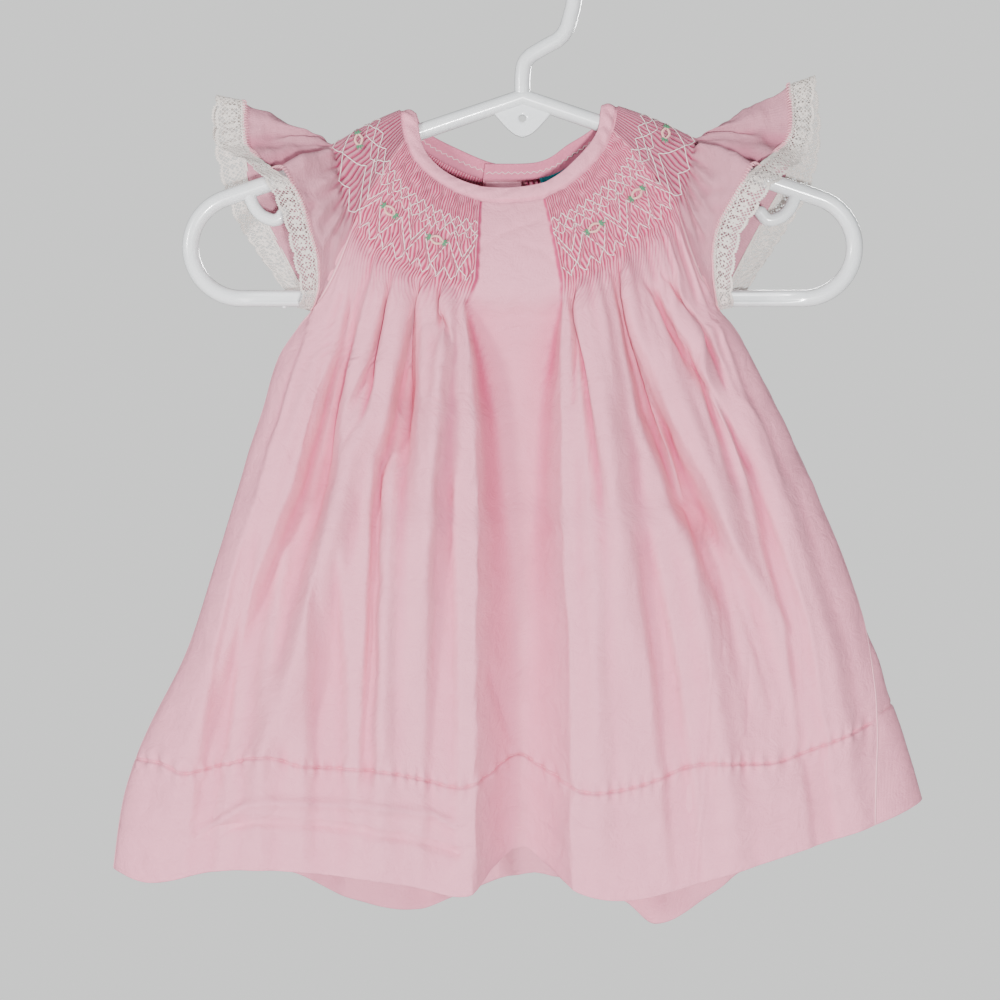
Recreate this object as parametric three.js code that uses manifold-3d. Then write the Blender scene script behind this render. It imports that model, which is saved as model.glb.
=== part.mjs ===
// A baby's bishop dress of pink cotton batiste on a white plastic child's hanger.
// Millimetres, +Z up, the front faces -Y, +X is the viewer's right.
// The origin is the inside top of the hanger's hook, where a rail or a nail holds it.
import * as THREE from "three";
import { mergeVertices } from "three/addons/utils/BufferGeometryUtils.js";
import Module from "manifold-3d";

const wasm = await Module();
wasm.setup();

// Cloth
const CLOTH = 1.2; // wall of the batiste with its folds
const TAPE = 2; // wall of the folded neck binding
const LACE = 1; // wall of the edging lace
const STRIP = 1; // wall of the placket strip and the label
const SEAM_GAP = 0.3; // between pieces at a seam
const RAGLAN_GAP = { top: 0.64, underarm: 1.2 }; // the same where sleeve and panel meet at an angle
const INNER_CLEAR = 0.2; // added where a strip lies inside a curved panel, or cloth lies close to a bend

// Gathering and smocking
const FRONT_PLEATS = 40; // on each side of the plain centre front
const BACK_PLEATS = 34; // on each back panel
const SLEEVE_PLEATS = 22; // over each shoulder
const PLEAT_RISE = { neck: 0.7, edge: 1.5 }; // how far the pleats stand out of the wall
const PLEATED_SHARE = 0.458; // of the front's cloth, gathered on each side
const PLEATED_TOP = 0.38; // of the front's smocked edge, on each side
const BAND_BULGE = 2; // the smocked band's swell between neck and edge

// Skirt
const UNDERARM = { t: 0.15, z: -161, left: -96, right: 89.5, bendZ: -151, bendY: 18.5, bendX: 0.45, sleeve: 0.8 };
const ROUNDING = 2.6; // exponent of the skirt's sections: 2 is an ellipse
const FRONT_DEPTH = { top: 24, hem: 33 };
const BACK_DEPTH = { top: 15, hem: 27 };
const CENTRE_BACK = -10; // where the two backs meet
const PLACKET = { end: 0.25, closed: 0.3, flat: 0.36, step: 2.6, from: 0.9, to: 0.985, rows: [0.04, 0.5, 1, 1.1, 1.2] };
const RAGLAN_FRONT = 42; // place on the yoke where the front ends and the sleeve starts
const RAGLAN_BACK = 66;

// Small pieces
const BINDING_SWELL = 0.9;
const LABEL = { from: 0.44, to: 0.74, top: 0.04, bottom: 0.36 };
const BUTTON = { radius: 4.5, thick: 2, sides: 20, lap: 0.93, rows: [0.12, 0.95, 1.12] };

// Hanger
const TUBE = 3.65; // radius of the hanger's tube
const TUBE_SIDES = 8;
const SHOULDER = { apexZ: -62.9, loopX: 122.1, loopZ: -128.2, loopRadius: 22.4 };
const HOOK = { radius: 22.4, tube: 3.4, stubTop: -53 };
const GUSSET = { top: -66, halfTop: 12, bottom: -80, halfBottom: 4, thick: 3.2, hole: 1.7, holeZ: -72.3 };
const STRAP = { x: -119.5, z: -104.5, radius: 7.5, tube: 2.6 };

const PINK = 0xf6c3cc;
const LACE_WHITE = 0xeeeae2;
const PLASTIC = 0xf3f5f6;
const TEAL = 0x1f7d80;

// The yoke, a quarter turn at a time from the centre front to the centre back. seam is where the binding is
// sewn on, edge is the smocking's lower edge and lip is the binding's inner fold.
const YOKE = {
  left: [
    { at: 0, seam: [-18.4, -14, -110], edge: [-20, -23, -145.6], lip: [-17.5, -12.5, -103.3] },
    { at: 12, seam: [-28.7, -13.5, -106.3], edge: [-37, -22, -143.4], lip: [-25.7, -12, -100.7] },
    { at: 24, seam: [-39.5, -12, -99.4], edge: [-51.6, -20, -136.8], lip: [-34.3, -10.5, -95.8] },
    { at: 34, seam: [-47.3, -9.5, -91.3], edge: [-64.2, -16.5, -127.9], lip: [-40.9, -8.5, -89] },
    { at: 42, seam: [-50.9, -7, -82.7], edge: [-72.1, -13, -118], lip: [-44, -6.5, -81.8] },
    { at: 47, seam: [-52.2, -5, -76.4], edge: [-77.6, -10, -106.5], lip: [-45.1, -5, -75.6] },
    { at: 51, seam: [-52.8, -3.4, -71], edge: [-80.4, -6.9, -91.8], lip: [-45.8, -3, -71.4] },
    { at: 55, seam: [-52.9, 0, -69], edge: [-82, 0, -85], lip: [-45.9, 0, -69.9] },
    { at: 59, seam: [-52.4, 3.8, -70.6], edge: [-80.8, 6.4, -91.4], lip: [-45.5, 3.2, -71.2] },
    { at: 63, seam: [-51, 6.4, -75], edge: [-78.6, 9.4, -103], lip: [-44, 5.4, -75] },
    { at: 68, seam: [-47.1, 8.5, -80.4], edge: [-74, 11, -111.7], lip: [-40.5, 7, -77.9] },
    { at: 80, seam: [-33.5, 11, -89.3], edge: [-55.6, 13.5, -125.9], lip: [-29.6, 9, -83.3] },
    { at: 92, seam: [-16.8, 13, -96], edge: [-29.7, 15.5, -135], lip: [-14.2, 11.4, -89.5] },
    { at: 100, seam: [-3.2, 13.2, -98], edge: [-3.2, 16.2, -136.7], lip: [-2.3, 11.6, -91.4] },
  ],
  right: [
    { at: 0, seam: [9.5, -14, -108.7], edge: [16.6, -23, -144.7], lip: [9.5, -12.5, -101.5] },
    { at: 12, seam: [19.4, -13.5, -103.5], edge: [32.8, -22, -137.8], lip: [16.9, -12, -96.8] },
    { at: 24, seam: [29.3, -12, -95.1], edge: [46.5, -20, -128.2], lip: [24.2, -10.5, -89.7] },
    { at: 34, seam: [35.5, -9.5, -87], edge: [57.8, -16.5, -119.3], lip: [29.5, -8.5, -83.4] },
    { at: 42, seam: [39, -7, -78.8], edge: [65.8, -13, -110.7], lip: [32.6, -6.5, -77.5] },
    { at: 47, seam: [40.4, -5, -73.4], edge: [70.4, -10, -100.4], lip: [33.7, -5, -71.4] },
    { at: 51, seam: [41, -3.4, -69.4], edge: [73, -7.1, -88.8], lip: [34.1, -3, -67.4] },
    { at: 55, seam: [41.1, 0, -67.3], edge: [74.2, 0, -82.3], lip: [34.2, 0, -66.4] },
    { at: 59, seam: [40.8, 3.8, -69], edge: [73.6, 6.4, -88.6], lip: [34, 3.2, -67.8] },
    { at: 63, seam: [39.4, 6.4, -73.4], edge: [71.2, 9.4, -98], lip: [32.7, 5.4, -72.9] },
    { at: 68, seam: [35.8, 8.5, -79.1], edge: [67.5, 11, -107.3], lip: [29.6, 7, -76.2] },
    { at: 80, seam: [25.4, 10.6, -87.5], edge: [51.9, 13, -122.8], lip: [20.1, 8.6, -82] },
    { at: 92, seam: [8.5, 10.8, -96], edge: [20, 13.6, -134.2], lip: [6.7, 9, -89.8] },
    { at: 100, seam: [-17.3, 10, -96.9], edge: [-17.3, 12.6, -136.5], lip: [-16.4, 8.4, -90.6] },
  ],
};

// The skirt's outline: how far out its two sides stand at each height.
const OUTLINE = [
  { z: -400, left: -178.5, right: 186 },
  { z: -367.5, left: -173.4, right: 174 },
  { z: -347.5, left: -167, right: 167.5 },
  { z: -334, left: -161, right: 163.5 },
  { z: -304, left: -146, right: 153 },
  { z: -264, left: -133, right: 139.5 },
  { z: -231, left: -123, right: 125.7 },
  { z: -217, left: -119, right: 119.5 },
  { z: -199, left: -113, right: 111 },
  { z: -176, left: -106, right: 99 },
  { z: -161, left: -96, right: 89.5 },
];

// The hem's height across the front and across the back.
const FRONT_HEM = [
  { x: -178.5, z: -397 },
  { x: -160, z: -401.5 },
  { x: -130, z: -395.5 },
  { x: -100, z: -395 },
  { x: -50, z: -400.5 },
  { x: -23, z: -405 },
  { x: -12, z: -394 },
  { x: -1, z: -386.5 },
  { x: 9, z: -393.5 },
  { x: 24, z: -404 },
  { x: 46, z: -406.7 },
  { x: 80, z: -398.2 },
  { x: 112, z: -388.5 },
  { x: 152, z: -376 },
  { x: 174, z: -367.5 },
];
const BACK_HEM = [
  { x: -178.5, z: -397 },
  { x: -150, z: -402 },
  { x: -107, z: -403.5 },
  { x: -75, z: -416 },
  { x: -46, z: -421.5 },
  { x: -30, z: -415 },
  { x: -7, z: -406 },
  { x: 8, z: -403 },
  { x: 46, z: -418 },
  { x: 60, z: -428 },
  { x: 86, z: -412 },
  { x: 97, z: -404 },
  { x: 152, z: -380 },
  { x: 174, z: -367.5 },
];

// The length of back cloth that shows beyond the side seams on the front, from underarm to hem.
const WRAP = [
  { t: 0, left: 0, right: 0 },
  { t: 0.44, left: 0, right: 0 },
  { t: 0.67, left: 1, right: 5 },
  { t: 0.8, left: 3, right: 16 },
  { t: 1, left: 7, right: 36 },
];

// Folds: a line down the cloth, from its head by its middle to its foot. depth is how far the cloth goes back
// there, and a ridge has a negative one; width is half the fold's breadth at head and foot.
const FRONT_FOLDS = [
  { name: "outer left ridge", x: [-85, -122, -143], z: [-170, -255, -350], depth: [1, -4, -2], width: [6, 16] },
  { name: "left trough", x: [-74, -89, -124], z: [-160, -232, -340], depth: [5, 9, 2.5], width: [5, 19] },
  { name: "left shoulder crease", x: [-57, -64, -75], z: [-149, -180, -216], depth: [2, 3.5, 0], width: [3, 6] },
  { name: "left crest", x: [-66, -84, -104], z: [-190, -260, -330], depth: [-1, -4, -3], width: [7, 18] },
  { name: "left pinch", x: [-44, -50, -57], z: [-148, -192, -250], depth: [3, 9, 0], width: [3.5, 12] },
  { name: "left inner crest", x: [-33, -40, -46], z: [-160, -215, -300], depth: [-1, -4, -1], width: [6, 16] },
  { name: "left inner crease", x: [-35, -34, -33], z: [-149, -160, -174], depth: [2, 3, 0], width: [3, 4] },
  { name: "right inner crease", x: [21, 23, 25], z: [-148, -162, -196], depth: [2, 3, 0], width: [3, 5] },
  { name: "right inner crest", x: [32, 38, 44], z: [-155, -215, -300], depth: [-1, -4, -1], width: [6, 16] },
  { name: "right pinch", x: [40, 55, 74], z: [-145, -200, -245], depth: [3, 9, 5], width: [4, 11] },
  { name: "right pinch tail", x: [74, 92, 107], z: [-245, -282, -340], depth: [4, 5, 1], width: [10, 16] },
  { name: "right crest", x: [63, 84, 98], z: [-180, -235, -310], depth: [-1, -4, -2], width: [7, 16] },
  { name: "right shoulder crease", x: [57, 74, 94], z: [-152, -182, -226], depth: [2, 4, 0], width: [3, 7] },
  { name: "right side crease", x: [63, 74, 88], z: [-146, -163, -194], depth: [2, 3, 0], width: [3, 5] },
  { name: "outer right ridge", x: [89, 110, 129], z: [-188, -235, -334], depth: [-1, -4, -2], width: [6, 16] },
];
const BACK_FOLDS = [
  { name: "left side trough", x: [-76, -100, -128], z: [-165, -240, -370], depth: [4, 8, 3], width: [6, 18] },
  { name: "left crest", x: [-60, -76, -98], z: [-170, -260, -390], depth: [-2, -4, -4], width: [7, 18] },
  { name: "left centre trough", x: [-40, -52, -68], z: [-150, -230, -380], depth: [4, 7, 5], width: [5, 15] },
  { name: "left centre crest", x: [-26, -32, -42], z: [-160, -260, -405], depth: [-1, -4, -5], width: [6, 15] },
  { name: "centre trough", x: [-6, -5, 6], z: [-215, -300, -400], depth: [2, 6, 7], width: [7, 15] },
  { name: "right centre crest", x: [20, 34, 52], z: [-165, -265, -410], depth: [-1, -4, -6], width: [6, 16] },
  { name: "right centre trough", x: [36, 52, 78], z: [-150, -235, -385], depth: [4, 8, 4], width: [5, 16] },
  { name: "right crest", x: [56, 76, 104], z: [-170, -260, -385], depth: [-2, -4, -4], width: [7, 18] },
  { name: "right side trough", x: [74, 98, 128], z: [-165, -240, -350], depth: [4, 8, 3], width: [6, 18] },
];

// The deep inverted pleat down the centre front: its two folded edges, how deep it is and how much of its width
// is a flat bottom.
const CENTRE_PLEAT = [
  { z: -410, left: -20.4, right: 20.3, depth: 20, flat: 0.1 },
  { z: -340, left: -19.8, right: 19.8, depth: 19, flat: 0 },
  { z: -300, left: -19.4, right: 19.5, depth: 20, flat: 0.05 },
  { z: -262, left: -19.2, right: 17, depth: 20, flat: 0.15 },
  { z: -240, left: -19.1, right: 16.5, depth: 19, flat: 0.3 },
  { z: -204, left: -20.2, right: 16.1, depth: 17, flat: 0.45 },
  { z: -175, left: -22.5, right: 16.1, depth: 13, flat: 0.7 },
  { z: -156, left: -25, right: 17, depth: 5, flat: 0.9 },
  { z: -144, left: -26, right: 18, depth: 0, flat: 0.95 },
];

// The sleeves' open edge from the front underarm over the shoulder to the back underarm: cloth is where the lace
// is sewn on, and lace is its scalloped edge.
const SLEEVES = {
  left: [
    { at: 0, cloth: [-90.5, -5.8, -156], lace: [-96.5, -8.5, -154] },
    { at: 0.07, cloth: [-88, -12.5, -145.5], lace: [-94.5, -15, -150] },
    { at: 0.14, cloth: [-88.5, -14.5, -134], lace: [-97.5, -16, -135.5] },
    { at: 0.22, cloth: [-91.5, -17.5, -122], lace: [-100.5, -19, -122] },
    { at: 0.3, cloth: [-95, -20, -110.3], lace: [-104.6, -22, -110.7] },
    { at: 0.38, cloth: [-100.5, -22, -101.7], lace: [-110, -24, -101.5] },
    { at: 0.44, cloth: [-108, -18, -95.7], lace: [-116.4, -19, -94] },
    { at: 0.48, cloth: [-115, -10, -91], lace: [-124, -10, -91] },
    { at: 0.53, cloth: [-119.6, -4, -85.6], lace: [-130, -4, -87.3] },
    { at: 0.6, cloth: [-121, -1, -75.3], lace: [-132.8, -1, -77.4] },
    { at: 0.66, cloth: [-121.7, 1, -65.8], lace: [-132.6, 1, -64.5] },
    { at: 0.72, cloth: [-123.7, 7, -68.3], lace: [-135.2, 8, -68.1] },
    { at: 0.8, cloth: [-123, 12, -84.2], lace: [-134.5, 14, -86] },
    { at: 0.88, cloth: [-119, 14, -103.7], lace: [-128.5, 16, -109] },
    { at: 0.94, cloth: [-109, 12, -123], lace: [-116.5, 14, -129] },
    { at: 1, cloth: [-91.5, 5.8, -156], lace: [-98.5, 8.5, -154] },
  ],
  right: [
    { at: 0, cloth: [84.4, -5.8, -156], lace: [91, -8.5, -154] },
    { at: 0.07, cloth: [82.6, -12.5, -143.5], lace: [89.5, -15, -148.5] },
    { at: 0.14, cloth: [82, -15, -131.5], lace: [90.5, -17, -135] },
    { at: 0.22, cloth: [83.5, -17, -121.5], lace: [93, -19, -124] },
    { at: 0.3, cloth: [88.7, -20, -111.6], lace: [98.2, -22, -115.8] },
    { at: 0.38, cloth: [95.8, -22, -100.4], lace: [105, -24, -104.9] },
    { at: 0.44, cloth: [102.1, -18, -94], lace: [111.3, -19, -98.4] },
    { at: 0.48, cloth: [108.7, -10, -89.7], lace: [118.2, -10, -94] },
    { at: 0.53, cloth: [113, -4, -85.6], lace: [122.5, -4, -88.6] },
    { at: 0.6, cloth: [117.1, -1, -74], lace: [126, -1, -74.5] },
    { at: 0.66, cloth: [116.5, 1, -58.8], lace: [126.5, 1, -55.4] },
    { at: 0.72, cloth: [119, 7, -63], lace: [129.2, 8, -62.9] },
    { at: 0.8, cloth: [120.5, 12, -79.8], lace: [130.5, 14, -83.9] },
    { at: 0.88, cloth: [115.9, 14, -98], lace: [125, 16, -103.9] },
    { at: 0.94, cloth: [102.5, 13, -122], lace: [110.5, 15, -127.5] },
    { at: 1, cloth: [86.5, 5.8, -155.5], lace: [93.5, 8.5, -153.5] },
  ],
};
const SLEEVE_PUFF = 4; // how far the sleeve stands out between yoke and edge
const FLUTTER = { waves: 6, rise: 1.3 }; // its gathers, as waves across the edge

// Mesh density
const SKIRT_COLUMNS = 50;
const BACK_COLUMNS = 24;
const INNER_BAND_COLUMNS = 30;
const SLEEVE_COLUMNS = 30;
const BAND_ROWS = [0, 0.25, 0.6, 1];
const SKIRT_ROWS = [0.03, 0.06, 0.09, 0.12, 0.15, 0.2, 0.25, 0.3, 0.36, 0.44, 0.55, 0.67, 0.78, 0.89, 1];
const SLEEVE_ROWS = [0.25, 0.5, 0.75, 1]; // at the same places of the raglan seam as the skirt's first rows
const SAMPLES = 240; // points that measure a section's length
const STEP = 0.003; // for slopes

const mix = THREE.MathUtils.lerp;
const clamp = THREE.MathUtils.clamp;
const ease = (value) => THREE.MathUtils.smoothstep(value, 0, 1);

// Reads a column of a table at a place between its rows, which are in rising or falling order of key.
function read(table, key, place, column) {
  const rows = table[0][key] < table[table.length - 1][key] ? table : [...table].reverse();
  const inside = clamp(place, rows[0][key], rows[rows.length - 1][key]);
  let last = 1;
  while (last < rows.length - 1 && rows[last][key] < inside) last += 1;
  const low = rows[last - 1];
  const high = rows[last];
  const share = (inside - low[key]) / (high[key] - low[key]);
  return column(low, share, high, rows[Math.max(last - 2, 0)], rows[Math.min(last + 1, rows.length - 1)]);
}

function level(table, key, place, name) {
  return read(table, key, place, (low, share, high) => mix(low[name], high[name], share));
}

// A smooth point between a table's rows, by a curve through four of them.
function smoothPoint(table, place, name) {
  return read(table, "at", place, (low, share, high, before, after) => {
    const axis = (i) => {
      const slopeLow = ((high[name][i] - before[name][i]) * (high.at - low.at)) / (high.at - before.at);
      const slopeHigh = ((after[name][i] - low[name][i]) * (high.at - low.at)) / (after.at - low.at);
      const s = share;
      const rise = (2 * s ** 3 - 3 * s ** 2 + 1) * low[name][i] + (3 * s ** 2 - 2 * s ** 3) * high[name][i];
      return rise + (s ** 3 - 2 * s ** 2 + s) * slopeLow + (s ** 3 - s ** 2) * slopeHigh;
    };
    return new THREE.Vector3(axis(0), axis(1), axis(2));
  });
}

// The front's share of the yoke, from the left raglan seam by the plain centre to the right one.
function frontYoke(share, name) {
  const plain = 1 - PLEATED_TOP;
  if (share < PLEATED_TOP) return smoothPoint(YOKE.left, RAGLAN_FRONT * (1 - share / PLEATED_TOP), name);
  if (share > plain) return smoothPoint(YOKE.right, (RAGLAN_FRONT * (share - plain)) / PLEATED_TOP, name);
  const across = (share - PLEATED_TOP) / (plain - PLEATED_TOP);
  const point = smoothPoint(YOKE.left, 0, name).lerp(smoothPoint(YOKE.right, 0, name), across);
  const sag = name === "edge" ? 1 : 1.2;
  point.z -= sag * 4 * across * (1 - across);
  return point;
}

// Where a piece of cloth at a share of the gathered width lies on the smocked edge.
function gathered(u) {
  const plain = 1 - PLEATED_SHARE;
  if (u < PLEATED_SHARE) return (PLEATED_TOP * u) / PLEATED_SHARE;
  if (u > plain) return 1 - (PLEATED_TOP * (1 - u)) / PLEATED_SHARE;
  return mix(PLEATED_TOP, 1 - PLEATED_TOP, (u - PLEATED_SHARE) / (plain - PLEATED_SHARE));
}

// How far back the folds put the cloth at a point of the front or the back.
function foldDepth(folds, x, z) {
  let depth = 0;
  for (const fold of folds) {
    const [head, middle, foot] = fold.z;
    const upper = z > middle;
    const part = upper ? (z - middle) / (head - middle) : (z - middle) / (foot - middle);
    const end = upper ? 0 : 2;
    const inside = clamp(part, 0, 1);
    const line = mix(fold.x[1], fold.x[end], part);
    const size = mix(fold.depth[1], fold.depth[end], inside) * (1 - ease((part - 1) * 3));
    const breadth = mix(fold.width[0], fold.width[1], clamp((z - head) / (foot - head), 0, 1));
    const away = Math.abs(x - line) / breadth;
    if (away < 1 && part < 2) depth += (size * (1 + Math.cos(Math.PI * away))) / 2;
  }
  return depth;
}

function centrePleatDepth(x, z) {
  const left = level(CENTRE_PLEAT, "z", z, "left");
  const right = level(CENTRE_PLEAT, "z", z, "right");
  const across = (x - left) / (right - left);
  if (across <= 0 || across >= 1) return 0;
  const ramp = (1 - level(CENTRE_PLEAT, "z", z, "flat")) / 2;
  const climb = clamp(Math.min(across, 1 - across) / ramp, 0, 1);
  return level(CENTRE_PLEAT, "z", z, "depth") * Math.sin((climb * Math.PI) / 2) ** 0.8;
}

// A section's round plan: 0 and 1 are its two sides, and the depth is greatest between them.
function plan(across) {
  const angle = Math.PI * across;
  const along = Math.abs(Math.cos(angle)) ** (2 / ROUNDING) * Math.sign(Math.cos(angle));
  return { along: (1 - along) / 2, deep: Math.sin(angle) ** (2 / ROUNDING) };
}

// The raglan seam below the smocking, which passes outside the hanger's low bar on its way to the underarm.
function raglan(side, top) {
  const { bendX, bendY, bendZ, z } = UNDERARM;
  const bend = new THREE.Vector3(mix(top.x, UNDERARM[side], bendX), Math.sign(top.y) * bendY, bendZ);
  return new THREE.QuadraticBezierCurve3(top, bend, new THREE.Vector3(UNDERARM[side], 0, z));
}

// Which way is out of the cloth at the raglan seam, and which way leads across it to the sleeve.
function raglanFrame(side, face, share) {
  const sign = side === "left" ? -1 : 1;
  const place = face === "front" ? RAGLAN_FRONT : RAGLAN_BACK;
  const line = raglan(side, smoothPoint(YOKE[side], place, "edge"));
  const forward = (face === "front" ? -1 : 1) * (1 - share ** 3);
  const out = new THREE.Vector3(sign * mix(0.15, 1, share ** 2), forward, 0).normalize();
  const toSleeve = line.getTangent(share).cross(out).normalize();
  if ((side === "left") !== (face === "front")) toSleeve.negate();
  return { point: line.getPoint(share), out, toSleeve };
}

// A side's point: down the raglan seam to the underarm, then down the skirt's outline.
function sidePoint(side, top, t) {
  const hem = side === "left" ? FRONT_HEM[0].z : FRONT_HEM[FRONT_HEM.length - 1].z;
  const z = mix(UNDERARM.z, hem, (t - UNDERARM.t) / (1 - UNDERARM.t));
  if (t >= UNDERARM.t) return new THREE.Vector3(level(OUTLINE, "z", z, side), 0, z);
  return raglan(side, top).getPoint(t / UNDERARM.t);
}

// How far a side's point lies from where the cloth would hang without its seam.
function sideShift(point, top, t, settle) {
  const hem = point.x < 0 ? FRONT_HEM[0].z : FRONT_HEM[FRONT_HEM.length - 1].z;
  return { y: point.y - mix(top.y, 0, settle), z: point.z - mix(top.z, hem, t) };
}

// One section of the front at t, as close points from its left side to its right side.
function frontSection(t) {
  const start = sidePoint("left", frontYoke(0, "edge"), t);
  const finish = sidePoint("right", frontYoke(1, "edge"), t);
  const settle = Math.min(1, t / UNDERARM.t);
  const topLeft = frontYoke(0, "edge");
  const topWidth = frontYoke(1, "edge").x - topLeft.x;
  const depth = mix(FRONT_DEPTH.top, FRONT_DEPTH.hem, ease(t));
  const leftShift = sideShift(start, topLeft, t, settle);
  const rightShift = sideShift(finish, frontYoke(1, "edge"), t, settle);
  const hemLeft = FRONT_HEM[0].x;
  const hemWidth = FRONT_HEM[FRONT_HEM.length - 1].x - hemLeft;
  const points = [];
  for (let i = 0; i <= SAMPLES; i += 1) {
    const across = i / SAMPLES;
    const top = frontYoke(across, "edge");
    const { along, deep } = plan(across);
    const place = mix((top.x - topLeft.x) / topWidth, along, settle);
    const x = mix(start.x, finish.x, place);
    const hem = level(FRONT_HEM, "x", hemLeft + along * hemWidth, "z");
    const near = (1 - deep) ** 2;
    const z = mix(top.z, hem, t) + mix(leftShift.z, rightShift.z, place) * near;
    const y = mix(top.y, -depth * deep, settle) + mix(leftShift.y, rightShift.y, place) * near;
    const fold = (foldDepth(FRONT_FOLDS, x, z) + centrePleatDepth(x, z)) * deep;
    points.push(new THREE.Vector3(x, y + fold * ease(t / 0.06), z));
  }
  return points;
}

// One section of a back panel at t, from its side seam to its centre edge.
function backSection(side, t) {
  const sign = side === "left" ? -1 : 1;
  const topSide = smoothPoint(YOKE[side], RAGLAN_BACK, "edge");
  const topCentre = smoothPoint(YOKE[side], 100, "edge");
  const start = sidePoint(side, topSide, t);
  const settle = Math.min(1, t / UNDERARM.t);
  const depth = mix(BACK_DEPTH.top, BACK_DEPTH.hem, ease(t));
  const meet = CENTRE_BACK + sign * (SEAM_GAP / 2 + INNER_CLEAR);
  const lapped = mix(topCentre.x, meet, ease((t - PLACKET.end) / (PLACKET.closed - PLACKET.end)));
  const under = side === "right" ? 1 - ease((t - PLACKET.closed) / (PLACKET.flat - PLACKET.closed)) : 0;
  const shift = sideShift(start, topSide, t, settle);
  const hemSide = side === "left" ? BACK_HEM[0].x : BACK_HEM[BACK_HEM.length - 1].x;
  const points = [];
  for (let i = 0; i <= SAMPLES; i += 1) {
    const across = i / SAMPLES;
    const top = smoothPoint(YOKE[side], mix(RAGLAN_BACK, 100, across), "edge");
    const { along, deep } = plan(across / 2);
    const place = mix((top.x - topSide.x) / (topCentre.x - topSide.x), along * 2, settle);
    const x = mix(start.x, lapped, place);
    const hem = level(BACK_HEM, "x", mix(hemSide, meet, along * 2), "z");
    const near = (1 - deep) ** 2;
    const z = mix(top.z, hem, t) + shift.z * near;
    const y = mix(top.y, depth * deep - PLACKET.step * under * ease(place), settle) + shift.y * near;
    points.push(new THREE.Vector3(x, y - foldDepth(BACK_FOLDS, x, z) * deep * ease((t - 0.02) / 0.12), z));
  }
  return points;
}

// A curve that is cut to lengths: at(share) is its point at a share of what is left of it.
class Section {
  constructor(points) {
    this.points = points;
    this.lengths = [0];
    for (let i = 1; i < points.length; i += 1) {
      this.lengths.push(this.lengths[i - 1] + points[i].distanceTo(points[i - 1]));
    }
    this.from = 0;
    this.to = this.lengths[points.length - 1];
  }

  trim(start, end) {
    this.from += start;
    this.to -= end;
    return this;
  }

  at(share) {
    const place = mix(this.from, this.to, share);
    let last = 1;
    while (last < this.lengths.length - 1 && this.lengths[last] < place) last += 1;
    const step = this.lengths[last] - this.lengths[last - 1];
    return this.points[last - 1].clone().lerp(this.points[last], (place - this.lengths[last - 1]) / step);
  }
}

function wrapped(t, side) {
  return t < UNDERARM.t ? 0 : level(WRAP, "t", t, side);
}

const HALF_GAP = 0.36; // from a side seam's line to a panel's edge, measured on the outside of the curve

const sections = new Map();
function section(name, t) {
  const key = `${name} ${t.toFixed(4)}`;
  if (sections.has(key)) return sections.get(key);
  let made;
  if (name === "front") {
    made = new Section(frontSection(t)).trim(wrapped(t, "left") + HALF_GAP, wrapped(t, "right") + HALF_GAP);
  } else {
    const front = frontSection(t);
    const visible = new Section(name === "left" ? front : [...front].reverse());
    const wrap = wrapped(t, name);
    const turned = [];
    for (let i = 0; wrap > 0 && i < 8; i += 1) turned.push(visible.at((wrap * (1 - i / 8)) / visible.to));
    made = new Section([...turned, ...backSection(name, t)]).trim(HALF_GAP, 0);
  }
  sections.set(key, made);
  return made;
}

// The smooth surfaces. u runs across the cloth; w is 0 at the neck seam, 1 at the smocked edge and 2 at the hem.
function band(seam, edge, w) {
  const start = (SEAM_GAP + INNER_CLEAR) / seam.distanceTo(edge);
  const point = seam.clone().lerp(edge, mix(start, 1, w));
  const swell = BAND_BULGE * 4 * w * (1 - w);
  point.y += Math.sign(edge.y) * swell * Math.min(1, Math.abs(edge.y) / 12);
  point.z += swell * 0.5;
  return point;
}

function frontSurface(u, w) {
  const share = gathered(u);
  if (w <= 1) return band(frontYoke(share, "seam"), frontYoke(share, "edge"), w);
  const t = w - 1;
  return section("front", t).at(mix(share, u, ease(t / 0.3)));
}
frontSurface.seam = (u, w) => {
  const share = (w - 1) / UNDERARM.t;
  const held = ease(1 - Math.min(u, 1 - u) / 0.03) * ease((w - 1) / 0.02) * (1 - ease((share - 1) * 4));
  return { held, out: raglanFrame(u < 0.5 ? "left" : "right", "front", clamp(share, 0, 1)).out };
};

const backSurface = (side) => {
  const surface = (u, w) => {
    const place = mix(RAGLAN_BACK, 100, u);
    if (w <= 1) return band(smoothPoint(YOKE[side], place, "seam"), smoothPoint(YOKE[side], place, "edge"), w);
    return section(side, w - 1).at(u);
  };
  surface.flip = side === "left" ? -1 : 1;
  surface.seam = (u, w) => {
    const share = (w - 1) / UNDERARM.t;
    const held = ease(1 - u / 0.06) * ease((w - 1) / 0.02) * (1 - ease((share - 1) * 4));
    return { held, out: raglanFrame(side, "back", clamp(share, 0, 1)).out };
  };
  return surface;
};

const sleeveSurface = (side) => {
  const surface = (u, w) => sleevePoint(side, u, w);
  surface.flip = side === "left" ? -1 : 1;
  surface.seam = (u, w) => {
    const held = ease(1 - Math.min(u, 1 - u) / 0.08) * ease((w - 1) / 0.1);
    return { held, out: raglanFrame(side, u < 0.5 ? "front" : "back", Math.max(0, w - 1) * UNDERARM.sleeve).out };
  };
  return surface;
};

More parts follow.
